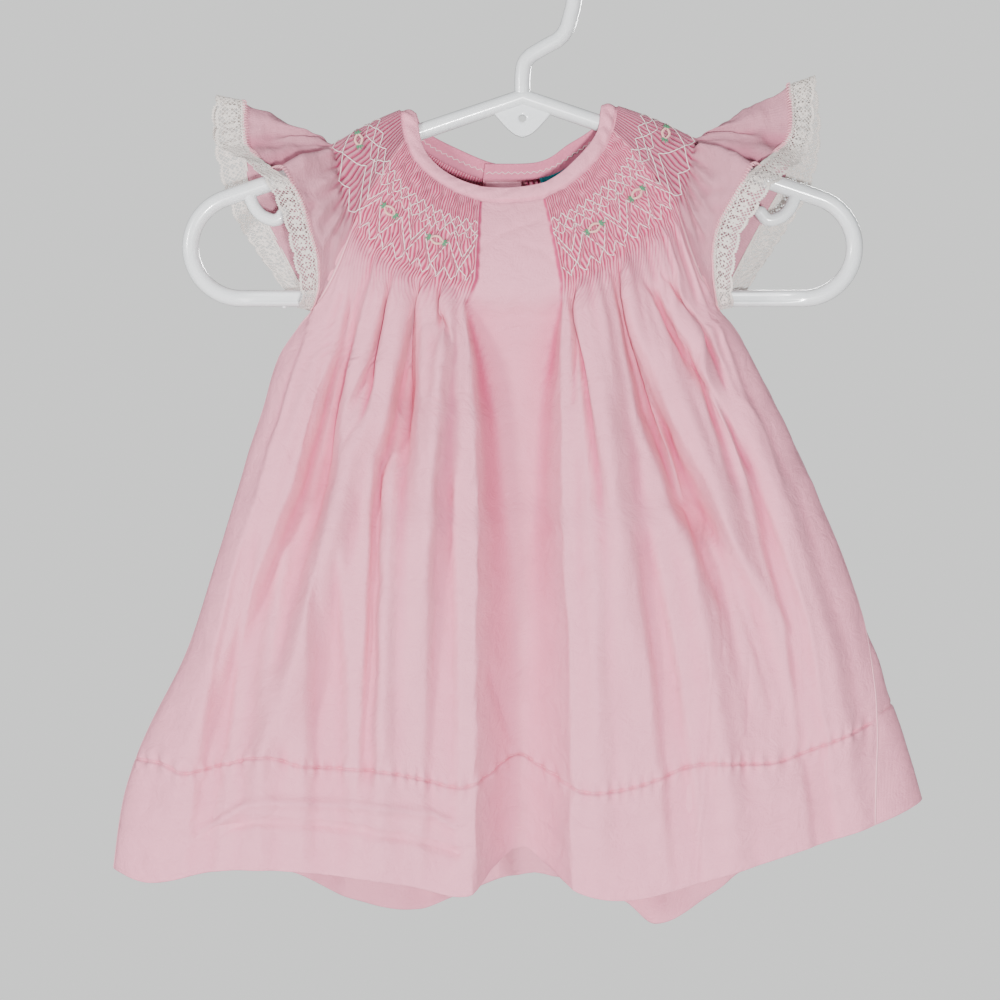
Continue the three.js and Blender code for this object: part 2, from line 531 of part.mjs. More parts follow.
function sleevePoint(side, u, w) {
  const clear = 0.25; // of a place on the yoke, which opens the raglan seams
  const place = mix(RAGLAN_FRONT + clear, RAGLAN_BACK - clear, u);
  const edge = smoothPoint(YOKE[side], place, "edge");
  if (w <= 1) return band(smoothPoint(YOKE[side], place, "seam"), edge, w);
  const t = w - 1;
  const point = edge.lerp(smoothPoint(SLEEVES[side], u, "cloth"), t);
  const free = Math.sin(Math.PI * u);
  const wave = FLUTTER.rise * t * free * Math.cos(2 * Math.PI * FLUTTER.waves * u);
  const swell = SLEEVE_PUFF * 4 * t * (1 - t) * free;
  point.z += (swell * 0.6 + wave) * Math.sin(Math.PI * clamp((u - 0.3) / 0.6, 0, 1));
  point.y += Math.sign(u - 0.5) * (swell * 0.5 + wave) * Math.min(1, Math.abs(u - 0.5) * 4);
  const near = 1 - Math.min(u, 1 - u) / 0.1;
  if (near > 0) {
    const frame = raglanFrame(side, u < 0.5 ? "front" : "back", t * UNDERARM.sleeve);
    point.lerp(frame.point.addScaledVector(frame.toSleeve, mix(RAGLAN_GAP.top, RAGLAN_GAP.underarm, t)), ease(near));
  }
  return point;
}

function lacePoint(side, u, w) {
  const heading = sleevePoint(side, u, 2);
  const scallop = smoothPoint(SLEEVES[side], u, "lace");
  const wave = FLUTTER.rise * Math.sin(Math.PI * u) * Math.cos(2 * Math.PI * FLUTTER.waves * u);
  scallop.z += wave * Math.sin(Math.PI * clamp((u - 0.3) / 0.6, 0, 1));
  scallop.y += Math.sign(u - 0.5) * wave * Math.min(1, Math.abs(u - 0.5) * 4);
  const start = (SEAM_GAP + 2 * INNER_CLEAR) / heading.distanceTo(scallop);
  return heading.lerp(scallop, mix(start, 1, w));
}

// The neck binding, from the right back's end round the front to the left back's end.
function bindingSurface(u, w) {
  const turn = u * 2;
  const side = turn < 1 ? "right" : "left";
  const place = turn < 1 ? 100 * (1 - turn) : 100 * (turn - 1);
  const plain = 0.07; // share of each half that is the plain centre front
  const share = clamp((place / 100 - plain) / (1 - plain), 0, 1) * 100;
  const seam = smoothPoint(YOKE[side], share, "seam");
  const lip = smoothPoint(YOKE[side], share, "lip");
  if (place / 100 < plain) {
    const across = (side === "left" ? 1 : -1) * (place / 100 / plain);
    const middleSeam = smoothPoint(YOKE.right, 0, "seam").lerp(smoothPoint(YOKE.left, 0, "seam"), (across + 1) / 2);
    const middleLip = smoothPoint(YOKE.right, 0, "lip").lerp(smoothPoint(YOKE.left, 0, "lip"), (across + 1) / 2);
    middleSeam.z -= 1.2 * (1 - across ** 2);
    middleLip.z -= 1.2 * (1 - across ** 2);
    seam.copy(middleSeam);
    lip.copy(middleLip);
  }
  const outward = new THREE.Vector3(0, Math.sign(seam.y) * Math.min(1, Math.abs(seam.y) / 6), 0.6);
  return seam.lerp(lip, w).addScaledVector(outward, BINDING_SWELL * 4 * w * (1 - w));
}

// The way out of the cloth at a point of a surface.
function outOf(surface, u, w, limit) {
  const uLow = Math.max(0, u - STEP);
  const uHigh = Math.min(1, u + STEP);
  const wLow = Math.max(0, w - STEP);
  const wHigh = Math.min(limit, w + STEP);
  const across = surface(uHigh, w).sub(surface(uLow, w));
  const down = surface(u, wHigh).sub(surface(u, wLow));
  const out = down.cross(across).normalize().multiplyScalar(surface.flip ?? 1);
  if (!surface.seam || w <= 1) return out;
  const seam = surface.seam(u, w);
  return out.lerp(seam.out, seam.held).normalize();
}

// A row of points over a surface: places across it, all at one height, moved out along the cloth's own normal.
function row(surface, places, w, limit, out, rise) {
  return places.map((u) => {
    const point = surface(u, w);
    const lift = out + (rise ? rise(u, w) : 0);
    if (lift) point.addScaledVector(outOf(surface, u, w, limit), lift);
    return { u, point };
  });
}

function spread(count) {
  return Array.from({ length: count + 1 }, (_, i) => i / count);
}

// Triangles between two rows of vertex numbers, which may have different counts.
function zip(low, high, triangles) {
  let i = 0;
  let j = 0;
  while (i < low.length - 1 || j < high.length - 1) {
    const stepLow = j === high.length - 1 || (i < low.length - 1 && low[i + 1].u <= high[j + 1].u);
    if (stepLow) triangles.push(low[i].id, high[j].id, low[i + 1].id);
    else triangles.push(low[i].id, high[j].id, high[j + 1].id);
    if (stepLow) i += 1;
    else j += 1;
  }
}

// A closed wall between rows of points on its outside and rows on its inside.
function wall(outer, inner) {
  const positions = [];
  const number = (rows) =>
    rows.map((points) =>
      points.map(({ u, point }) => {
        positions.push(point.x, point.y, point.z);
        return { u, id: positions.length / 3 - 1 };
      }),
    );
  const outside = number(outer);
  const inside = number(inner);
  const triangles = [];
  for (let i = 1; i < outside.length; i += 1) zip(outside[i - 1], outside[i], triangles);
  for (let i = 1; i < inside.length; i += 1) zip(inside[i], inside[i - 1], triangles);
  zip(inside[0], outside[0], triangles);
  zip(outside[outside.length - 1], inside[inside.length - 1], triangles);
  const edge = (rows, last) =>
    rows.map((points, i) => ({ u: i / (rows.length - 1), id: points[last ? points.length - 1 : 0].id }));
  zip(edge(outside, false), edge(inside, false), triangles);
  zip(edge(inside, true), edge(outside, true), triangles);
  const geometry = new THREE.BufferGeometry();
  geometry.setAttribute("position", new THREE.Float32BufferAttribute(positions, 3));
  geometry.setIndex(triangles);
  return facingOut(geometry);
}

function volume(geometry) {
  const position = geometry.getAttribute("position");
  const corner = (i) => new THREE.Vector3().fromBufferAttribute(position, geometry.index.getX(i));
  let total = 0;
  for (let i = 0; i < geometry.index.count; i += 3) total += corner(i).dot(corner(i + 1).cross(corner(i + 2)));
  return total / 6;
}

function facingOut(geometry) {
  if (volume(geometry) < 0) {
    const index = geometry.index;
    for (let i = 0; i < index.count; i += 3) {
      const first = index.getX(i);
      index.setX(i, index.getX(i + 1));
      index.setX(i + 1, first);
    }
  }
  return geometry;
}

// The pleats' rise out of a wall: passed(u) is the count of pleats passed at u, and raised(u) says if it has any.
const pleated = (passed, raised) => (u, w) => {
  const rise = raised(u) ? mix(PLEAT_RISE.neck, PLEAT_RISE.edge, w) : 0;
  return rise * (0.5 - 0.5 * Math.cos(2 * Math.PI * passed(u)));
};

// Places across the cloth at each pleat's valley and crest.
function pleatPlaces(start, end, pleats) {
  return Array.from({ length: 2 * pleats + 1 }, (_, i) => mix(start, end, i / (2 * pleats)));
}

function cloth(name, geometry, color) {
  const flat = geometry.index ? geometry.toNonIndexed() : geometry;
  flat.computeVertexNormals();
  const mesh = new THREE.Mesh(flat, new THREE.MeshStandardMaterial({ color, roughness: 0.9, metalness: 0 }));
  mesh.name = name;
  return mesh;
}

function frontPanel() {
  const plain = 1 - PLEATED_SHARE;
  const places = [
    ...pleatPlaces(0, PLEATED_SHARE, FRONT_PLEATS),
    ...spread(4).slice(1, -1).map((share) => mix(PLEATED_SHARE, plain, share)),
    ...pleatPlaces(plain, 1, FRONT_PLEATS),
  ];
  const passed = (u) => ((u <= plain ? Math.min(u, PLEATED_SHARE) : u - plain) * FRONT_PLEATS) / PLEATED_SHARE;
  const rise = pleated(passed, (u) => u <= PLEATED_SHARE || u >= plain);
  const outer = [
    ...BAND_ROWS.map((w) => row(frontSurface, places, w, 1, 0, rise)),
    ...SKIRT_ROWS.map((t) => row(frontSurface, spread(SKIRT_COLUMNS), 1 + t, 2, 0)),
  ];
  const inner = [
    ...BAND_ROWS.map((w) => row(frontSurface, spread(INNER_BAND_COLUMNS), w, 1, -CLOTH)),
    ...SKIRT_ROWS.map((t) => row(frontSurface, spread(SKIRT_COLUMNS), 1 + t, 2, -CLOTH)),
  ];
  return cloth("front_panel", wall(outer, inner), PINK);
}

function backPanel(side) {
  const surface = backSurface(side);
  const lapStart = 0.86; // the smocking stops where the placket laps
  const places = [...pleatPlaces(0, lapStart, BACK_PLEATS), 1];
  const rise = pleated((u) => (u * BACK_PLEATS) / lapStart, (u) => u <= lapStart);
  const outer = [
    ...BAND_ROWS.map((w) => row(surface, places, w, 1, 0, rise)),
    ...SKIRT_ROWS.map((t) => row(surface, spread(BACK_COLUMNS), 1 + t, 2, 0)),
  ];
  const inner = [
    ...BAND_ROWS.map((w) => row(surface, spread(BACK_COLUMNS / 2), w, 1, -CLOTH)),
    ...SKIRT_ROWS.map((t) => row(surface, spread(BACK_COLUMNS), 1 + t, 2, -CLOTH)),
  ];
  return cloth(`back_panel_${side}`, wall(outer, inner), PINK);
}

function sleeve(side) {
  const surface = sleeveSurface(side);
  const places = pleatPlaces(0, 1, SLEEVE_PLEATS);
  const rise = pleated((u) => u * SLEEVE_PLEATS, () => true);
  const outer = [
    ...BAND_ROWS.map((w) => row(surface, places, w, 1, 0, rise)),
    ...SLEEVE_ROWS.map((t) => row(surface, spread(SLEEVE_COLUMNS), 1 + t, 2, 0)),
  ];
  const inner = [
    ...BAND_ROWS.map((w) => row(surface, spread(SLEEVE_PLEATS), w, 1, -CLOTH)),
    ...SLEEVE_ROWS.map((t) => row(surface, spread(SLEEVE_COLUMNS), 1 + t, 2, -CLOTH)),
  ];
  return cloth(`sleeve_${side}`, wall(outer, inner), PINK);
}

function sleeveLace(side) {
  const surface = (u, w) => lacePoint(side, u, w);
  surface.flip = side === "left" ? -1 : 1;
  const places = spread(SLEEVE_COLUMNS);
  const outer = [0, 0.5, 1].map((w) => row(surface, places, w, 1, 0));
  const inner = [0, 0.5, 1].map((w) => row(surface, places, w, 1, -LACE));
  return cloth(`lace_${side}`, wall(outer, inner), LACE_WHITE);
}

function neckBinding() {
  const places = spread(56);
  const outer = [0, 0.5, 1].map((w) => row(bindingSurface, places, w, 1, 0));
  const inner = [0, 1].map((w) => row(bindingSurface, places, w, 1, -TAPE));
  return cloth("neck_binding", wall(outer, inner), PINK);
}

// A strip that lies inside a back panel, made from the panel's own points.
function inside(name, side, from, to, rows, thick, color) {
  const surface = backSurface(side);
  const places = spread(6).map((share) => mix(from, to, share));
  const lift = CLOTH + SEAM_GAP + INNER_CLEAR;
  const outer = rows.map((w) => row(surface, places, w, 2, -lift));
  const inner = rows.map((w) => row(surface, places, w, 2, -lift - thick));
  return cloth(name, wall(outer, inner), color);
}

function button(number, w) {
  const surface = backSurface("left");
  const shape = new THREE.CylinderGeometry(BUTTON.radius, BUTTON.radius, BUTTON.thick, BUTTON.sides);
  const out = outOf(surface, BUTTON.lap, w, 2);
  const mesh = cloth(`button_${number}`, shape, PLASTIC);
  mesh.quaternion.setFromUnitVectors(new THREE.Vector3(0, 1, 0), out);
  mesh.position.copy(surface(BUTTON.lap, w)).addScaledVector(out, BUTTON.thick / 2 + SEAM_GAP + 0.1);
  return mesh;
}

// The hanger's tubes are joined into one solid.
function solid(geometry) {
  const bare = geometry.clone();
  bare.deleteAttribute("normal");
  bare.deleteAttribute("uv");
  const merged = mergeVertices(bare, 0.0001);
  const vertProperties = merged.getAttribute("position").array;
  const triVerts = new Uint32Array(merged.index.array);
  return new wasm.Manifold(new wasm.Mesh({ numProp: 3, vertProperties, triVerts }));
}

function tube(points, radius, steps) {
  const round = new THREE.CatmullRomCurve3(points, false, "centripetal");
  const circle = new THREE.Shape();
  for (let i = 0; i < TUBE_SIDES; i += 1) {
    const angle = (2 * Math.PI * (i + 0.5)) / TUBE_SIDES;
    circle[i ? "lineTo" : "moveTo"](radius * Math.cos(angle), radius * Math.sin(angle));
  }
  return solid(new THREE.ExtrudeGeometry(circle, { steps, extrudePath: round, bevelEnabled: false }));
}

// Points of an arc in the hanger's plane, from one angle to another, in degrees.
function arc(x, z, radius, from, to, count) {
  return spread(count).map((share) => {
    const angle = THREE.MathUtils.degToRad(mix(from, to, share));
    return new THREE.Vector3(x + radius * Math.cos(angle), 0, z + radius * Math.sin(angle));
  });
}

function frameHalf(sign) {
  const { apexZ, loopX, loopZ, loopRadius } = SHOULDER;
  const slope = 71; // degrees of the loop's first point, where the shoulder bar runs into it
  const loop = arc(loopX, loopZ, loopRadius, slope, -90, 10);
  const bar = [0.25, 0.5, 0.75].map((share) => new THREE.Vector3(0, 0, apexZ).lerp(loop[0], share));
  const low = [0.75, 0.5, 0.25].map((share) => new THREE.Vector3(loopX * share, 0, loopZ - loopRadius));
  const start = new THREE.Vector3(-1, 0, apexZ);
  const end = new THREE.Vector3(-1, 0, loopZ - loopRadius);
  const points = [start, ...bar, ...loop, ...low, end];
  return tube(points.map((point) => point.multiply(new THREE.Vector3(sign, 1, 1))), TUBE, 44);
}

function hook() {
  const top = HOOK.tube - HOOK.radius; // so that the origin is on the hook's inside
  const ring = arc(0, top, HOOK.radius, -18, 170, 14);
  const foot = [
    new THREE.Vector3(0, 0, SHOULDER.apexZ),
    new THREE.Vector3(0, 0, HOOK.stubTop),
    new THREE.Vector3(1.5, 0, -47),
    new THREE.Vector3(9, 0, -41.5),
    new THREE.Vector3(17.5, 0, -36),
  ];
  return tube([...foot, ...ring], HOOK.tube, 36);
}

function strapHook(sign) {
  const { x, z, radius } = STRAP;
  const points = [new THREE.Vector3(x, 0, z + 1), ...arc(x + radius, z - 2, radius, 180, 352, 8)];
  return tube(points.map((point) => point.multiply(new THREE.Vector3(-sign, 1, 1))), STRAP.tube, 10);
}

function gusset() {
  const { top, halfTop, bottom, halfBottom, thick, hole, holeZ } = GUSSET;
  const shape = new THREE.Shape();
  shape.moveTo(-halfTop, top);
  shape.lineTo(-halfBottom, bottom + 2);
  shape.quadraticCurveTo(0, bottom - 2, halfBottom, bottom + 2);
  shape.lineTo(halfTop, top);
  shape.lineTo(-halfTop, top);
  const round = new THREE.Path();
  round.absarc(0, holeZ, hole, 0, 2 * Math.PI, true);
  shape.holes.push(round);
  const plate = new THREE.ExtrudeGeometry(shape, { depth: thick, bevelEnabled: false, curveSegments: 6 });
  plate.rotateX(Math.PI / 2);
  plate.translate(0, thick / 2, 0);
  return solid(plate);
}

function hanger() {
  let whole = frameHalf(1).add(frameHalf(-1));
  for (const piece of [hook(), strapHook(1), strapHook(-1), gusset()]) whole = whole.add(piece);
  const { vertProperties, triVerts } = whole.getMesh();
  const geometry = new THREE.BufferGeometry();
  geometry.setAttribute("position", new THREE.BufferAttribute(vertProperties, 3));
  geometry.setIndex(new THREE.BufferAttribute(triVerts, 1));
  const mesh = cloth("hanger", geometry, PLASTIC);
  mesh.material.roughness = 0.3;
  return mesh;
}

const dress = new THREE.Group();
dress.add(hanger());
dress.add(frontPanel());
dress.add(neckBinding());
for (const side of ["left", "right"]) {
  dress.add(backPanel(side));
  dress.add(sleeve(side));
  dress.add(sleeveLace(side));
}
dress.add(inside("back_placket", "right", PLACKET.from, PLACKET.to, PLACKET.rows, STRIP, PINK));
dress.add(inside("neck_label", "right", LABEL.from, LABEL.to, [LABEL.top, LABEL.bottom], STRIP, TEAL));
BUTTON.rows.forEach((w, i) => dress.add(button(i + 1, w)));

export default dress;
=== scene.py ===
import math

import bmesh
import bpy
import numpy as np
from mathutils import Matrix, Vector


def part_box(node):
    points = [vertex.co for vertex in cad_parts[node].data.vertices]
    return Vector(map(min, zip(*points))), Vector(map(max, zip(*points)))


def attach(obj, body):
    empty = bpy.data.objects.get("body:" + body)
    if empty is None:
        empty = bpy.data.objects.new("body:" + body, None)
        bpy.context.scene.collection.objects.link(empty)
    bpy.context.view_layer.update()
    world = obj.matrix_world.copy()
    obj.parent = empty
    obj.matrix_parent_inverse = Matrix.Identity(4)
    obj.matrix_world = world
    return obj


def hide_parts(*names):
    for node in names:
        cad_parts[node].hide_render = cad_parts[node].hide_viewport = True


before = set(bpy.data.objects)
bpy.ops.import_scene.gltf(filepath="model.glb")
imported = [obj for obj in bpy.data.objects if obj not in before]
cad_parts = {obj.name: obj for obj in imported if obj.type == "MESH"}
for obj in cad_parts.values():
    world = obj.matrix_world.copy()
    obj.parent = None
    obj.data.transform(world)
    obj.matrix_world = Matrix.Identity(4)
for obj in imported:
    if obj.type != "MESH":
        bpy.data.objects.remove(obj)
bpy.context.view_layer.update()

# The picture is taken from straight in front, a metre away, level with the chest, in a pale room. The floor is
# far below the dress, which hangs.
FLOOR = {"radius": 1.1, "z": -0.72}
CAMERA = {"place": (-0.0098, -1.012, -0.2383), "lens": 83.7, "sensor": 36}
ROOM = {"color": (0.8, 0.81, 0.8, 1), "lighting": 0.26, "seen": 1.3}


def fill(tree, node, inputs):
    """Gives a node's sockets their values, or joins them to the outputs passed in."""
    for name, value in inputs.items():
        if isinstance(value, bpy.types.NodeSocket):
            tree.links.new(value, node.inputs[name])
        else:
            node.inputs[name].default_value = value


def add(tree, kind, output, inputs, **settings):
    """Adds a shader node and returns its output of that name."""
    node = tree.nodes.new(f"ShaderNode{kind}")
    for setting, value in settings.items():
        setattr(node, setting, value)
    fill(tree, node, inputs)
    return node.outputs[output]


def new_material(name, inputs):
    material = bpy.data.materials.new(name)
    material.use_nodes = True
    shader = material.node_tree.nodes["Principled BSDF"]
    fill(material.node_tree, shader, inputs)
    return material, material.node_tree, shader


def softbox(name, place, target, size, power):
    lamp = bpy.data.lights.new(name, "AREA")
    lamp.shape = "DISK"
    lamp.size = size
    lamp.energy = power
    light = bpy.data.objects.new(name, lamp)
    light.location = place
    light.rotation_euler = (Vector(target) - Vector(place)).to_track_quat("-Z", "Y").to_euler()
    bpy.context.scene.collection.objects.link(light)


floor_mesh = bmesh.new()
bmesh.ops.create_circle(floor_mesh, cap_ends=True, segments=96, radius=FLOOR["radius"])
bmesh.ops.translate(floor_mesh, verts=floor_mesh.verts, vec=(0, 0, FLOOR["z"]))
floor = bpy.data.objects.new("floor", bpy.data.meshes.new("floor"))
floor_mesh.to_mesh(floor.data)
floor_mesh.free()
bpy.context.scene.collection.objects.link(floor)
floor_paint, _, _ = new_material("pale_floor", {"Base Color": (0.62, 0.62, 0.6, 1), "Roughness": 0.9})
floor.data.materials.append(floor_paint)

camera = bpy.data.objects.new("camera", bpy.data.cameras.new("camera"))
camera.location = CAMERA["place"]
camera.rotation_euler = (math.pi / 2, 0, 0)
camera.data.lens = CAMERA["lens"]
camera.data.sensor_width = CAMERA["sensor"]
camera.data.clip_start = 0.01
bpy.context.scene.collection.objects.link(camera)
bpy.context.scene.camera = camera

softbox("front_light", (0.12, -1.3, -0.42), (0, 0, -0.28), 0.12, 24)
softbox("side_light", (-0.9, -0.8, 0.1), (0, 0, -0.25), 0.2, 12)
softbox("back_light", (0.4, 1.5, 0.3), (0, 0, -0.2), 0.5, 24)
room = bpy.data.worlds.new("pale_room")
room.use_nodes = True
in_view = add(room.node_tree, "LightPath", "Is Camera Ray", {})
tones = {"Value": in_view, "To Min": ROOM["lighting"], "To Max": ROOM["seen"]}
brightness = add(room.node_tree, "MapRange", "Result", tones)
fill(room.node_tree, room.node_tree.nodes["Background"], {"Color": ROOM["color"], "Strength": brightness})
bpy.context.scene.world = room

# The hanger: glossy white plastic tube moulded in one piece, a long triangle with round end loops, a gusset
# with a hole under the hook, and two small hooks for straps inside the loops.
TUBE = 0.00365
LOOP = {"x": 0.1221, "z": -0.1282, "radius": 0.0224}
BAR_Z = LOOP["z"] - LOOP["radius"]
APEX = -0.0629
ARM_ANGLE = 71
HOOK = {"radius": 0.0224, "tube": 0.0034}
STRAP_TUBE = 0.0028
# The line of the strap hook on the left: x and z.
STRAP_HOOK = [
    (-0.1192, -0.1035),
    (-0.1182, -0.1076),
    (-0.1156, -0.1124),
    (-0.1117, -0.1155),
    (-0.1066, -0.1163),
    (-0.1037, -0.1132),
]
# The groove along the lower bar, the nub that the mould leaves under it, and the gusset with its hole.
GROOVE = {"half": 0.0015, "bed": -0.0026, "end": 0.1163}
NUB = {"drop": 0.0035, "radius": 0.0009}
GUSSET = {"top": -0.0655, "height": 0.015, "thick": 0.0026, "width": 0.0088, "round": 0.0035, "arms": 0.32}
HOLE_CENTRE = Vector((0, -GUSSET["thick"] / 2, -0.0723))
HOLE = {"cut": 0.0014, "reach": 0.003, "side": 0.0028, "radius": 0.0017}


def arc_points(x, z, radius, start, end, count):
    turns = [math.radians(start + (end - start) * i / count) for i in range(count + 1)]
    return [(x + radius * math.cos(a), 0, z + radius * math.sin(a)) for a in turns]


def two_tones(tree, share, dark, light, start=0, end=1):
    """A colour that goes from dark to light while the share goes from start to end."""
    tone = add(tree, "ValToRGB", "Color", {"Fac": share})
    for stop, place, color in zip(tone.node.color_ramp.elements, (start, end), (dark, light)):
        stop.position = place
        stop.color = (*color, 1)
    return tone


def finished(name, mesh, material):
    made = bpy.data.objects.new(name, mesh)
    bpy.context.scene.collection.objects.link(made)
    made.data.materials.append(material)
    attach(made, "root")
    return made


def smooth_mesh(name, shape):
    """The mesh of a closed bmesh, with its faces turned outwards and smooth."""
    bmesh.ops.recalc_face_normals(shape, faces=shape.faces)
    for face in shape.faces:
        face.smooth = True
    mesh = bpy.data.meshes.new(name)
    shape.to_mesh(mesh)
    shape.free()
    return mesh


def tubes(lines, radius, closed=False, sides=2, spline="POLY", steps=6):
    """One mesh of round tubes along lines of points, whose fourth number is a share of the radius."""
    curve = bpy.data.curves.new("line", "CURVE")
    curve.dimensions = "3D"
    curve.bevel_depth = radius
    curve.bevel_resolution = sides
    curve.resolution_u = steps
    curve.use_fill_caps = not closed
    for points in lines:
        line = curve.splines.new(spline)
        handles = line.bezier_points if spline == "BEZIER" else line.points
        handles.add(len(points) - 1)
        for handle, point in zip(handles, points):
            thick = point[3] if len(point) > 3 else 1.0
            handle.radius = thick
            if spline == "BEZIER":
                handle.co = point[:3]
                handle.handle_left_type = handle.handle_right_type = "AUTO"
            else:
                handle.co = (*point[:3], 1)
        line.use_cyclic_u = closed
        line.use_smooth = True
    holder = bpy.data.objects.new("line", curve)
    bpy.context.scene.collection.objects.link(holder)
    bpy.context.view_layer.update()
    mesh = bpy.data.meshes.new_from_object(holder.evaluated_get(bpy.context.evaluated_depsgraph_get()))
    bpy.data.objects.remove(holder)
    bpy.data.curves.remove(curve)
    mesh.materials.clear()
    return mesh


right_loop = arc_points(LOOP["x"], LOOP["z"], LOOP["radius"], ARM_ANGLE, -90, 40)
left_loop = [(-x, y, z) for x, y, z in reversed(right_loop)]
drop = right_loop[0][2] - APEX
shoulder = [(right_loop[0][0] * s, 0, APEX + drop * s) for s in (0.3, 0.6, 0.9)]
far_shoulder = [(-x, y, z) for x, y, z in reversed(shoulder)]
low_bar = [(x, 0, BAR_Z) for x in (0.116, 0.11, 0.06, 0, -0.06, -0.11, -0.116)]
around = [(0, 0, APEX), *shoulder, *right_loop, *low_bar, *left_loop, *far_shoulder]
hook_line = [
    (0, 0, APEX),
    (0, 0, -0.053),
    (0.0015, 0, -0.047),
    (0.009, 0, -0.0415),
    (0.0175, 0, -0.036),
    *arc_points(0, HOOK["tube"] - HOOK["radius"], HOOK["radius"], -18, 170, 22),
]
moulded = [
    tubes([around], TUBE, closed=True, sides=14),
    tubes([hook_line], HOOK["tube"], sides=6, spline="BEZIER", steps=3),
]
for side in (1, -1):
    strap_line = [(side * x, 0, z) for x, z in STRAP_HOOK]
    moulded.append(tubes([strap_line], STRAP_TUBE, sides=5, spline="BEZIER", steps=3))
hanger_mesh = bmesh.new()
for mesh in moulded:
    hanger_mesh.from_mesh(mesh)
for v in hanger_mesh.verts:
    if abs(v.co.z - BAR_Z) < GROOVE["half"] and v.co.y < 0 and abs(v.co.x) < GROOVE["end"]:
        v.co.y = GROOVE["bed"]
tip_x, tip_z = STRAP_HOOK[-1]
round_ends = [
    (hook_line[-1], HOOK["tube"]),
    ((tip_x, 0, tip_z), STRAP_TUBE),
    ((-tip_x, 0, tip_z), STRAP_TUBE),
    ((tip_x, 0, BAR_Z - NUB["drop"]), NUB["radius"]),
]
for centre, size in round_ends:
    ball = bmesh.ops.create_uvsphere(hanger_mesh, u_segments=24, v_segments=16, radius=size)
    bmesh.ops.translate(hanger_mesh, verts=ball["verts"], vec=centre)
web = bmesh.ops.create_grid(hanger_mesh, x_segments=24, y_segments=14, size=0.5)["verts"]
for v in web:
    across, down = v.co.x * 2, 0.5 - v.co.y
    below_arms = max(0, (down - GUSSET["arms"]) / (1 - GUSSET["arms"]))
    half = GUSSET["width"] * (1 - below_arms) + GUSSET["round"] * math.sqrt(max(0, 1 - below_arms**4))
    v.co = (across * half, -GUSSET["thick"] / 2, GUSSET["top"] - GUSSET["height"] * down)
web_faces = {f for v in web for f in v.link_faces}
holed = [f for f in web_faces if (f.calc_center_median() - HOLE_CENTRE).length < HOLE["cut"]]
bmesh.ops.delete(hanger_mesh, geom=holed, context="FACES")
web = [v for v in web if v.is_valid]
for v in web:
    spoke = v.co - HOLE_CENTRE
    if v.is_boundary and spoke.length < HOLE["reach"] and abs(v.co.x) < HOLE["side"]:
        v.co = HOLE_CENTRE + spoke.normalized() * HOLE["radius"]
web_faces = list({f for v in web for f in v.link_faces})
plate = bmesh.ops.extrude_face_region(hanger_mesh, geom=web_faces)
raised = [v for v in plate["geom"] if isinstance(v, bmesh.types.BMVert)]
bmesh.ops.translate(hanger_mesh, verts=raised, vec=(0, GUSSET["thick"], 0))

plastic, tree, gloss = new_material(
    "gloss_white_plastic",
    {"Coat Weight": 0.4, "Coat Roughness": 0.08, "Subsurface Weight": 0.15, "Subsurface Radius": (0.002,) * 3},
)
place = add(tree, "TexCoord", "Object", {})
scuffs = add(tree, "TexNoise", "Fac", {"Vector": place, "Scale": 90, "Detail": 6})
waviness = add(tree, "TexNoise", "Fac", {"Vector": place, "Scale": 60})
plastic_look = {
    "Roughness": add(tree, "MapRange", "Result", {"Value": scuffs, "To Min": 0.2, "To Max": 0.34}),
    "Base Color": two_tones(tree, scuffs, (0.8, 0.83, 0.85), (0.86, 0.88, 0.89)),
    "Normal": add(tree, "Bump", "Normal", {"Height": waviness, "Distance": 0.0002, "Strength": 0.25}),
}
fill(tree, gloss, plastic_look)
hanger = finished("hanger_body", smooth_mesh("hanger_moulding", hanger_mesh), plastic)
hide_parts("hanger")

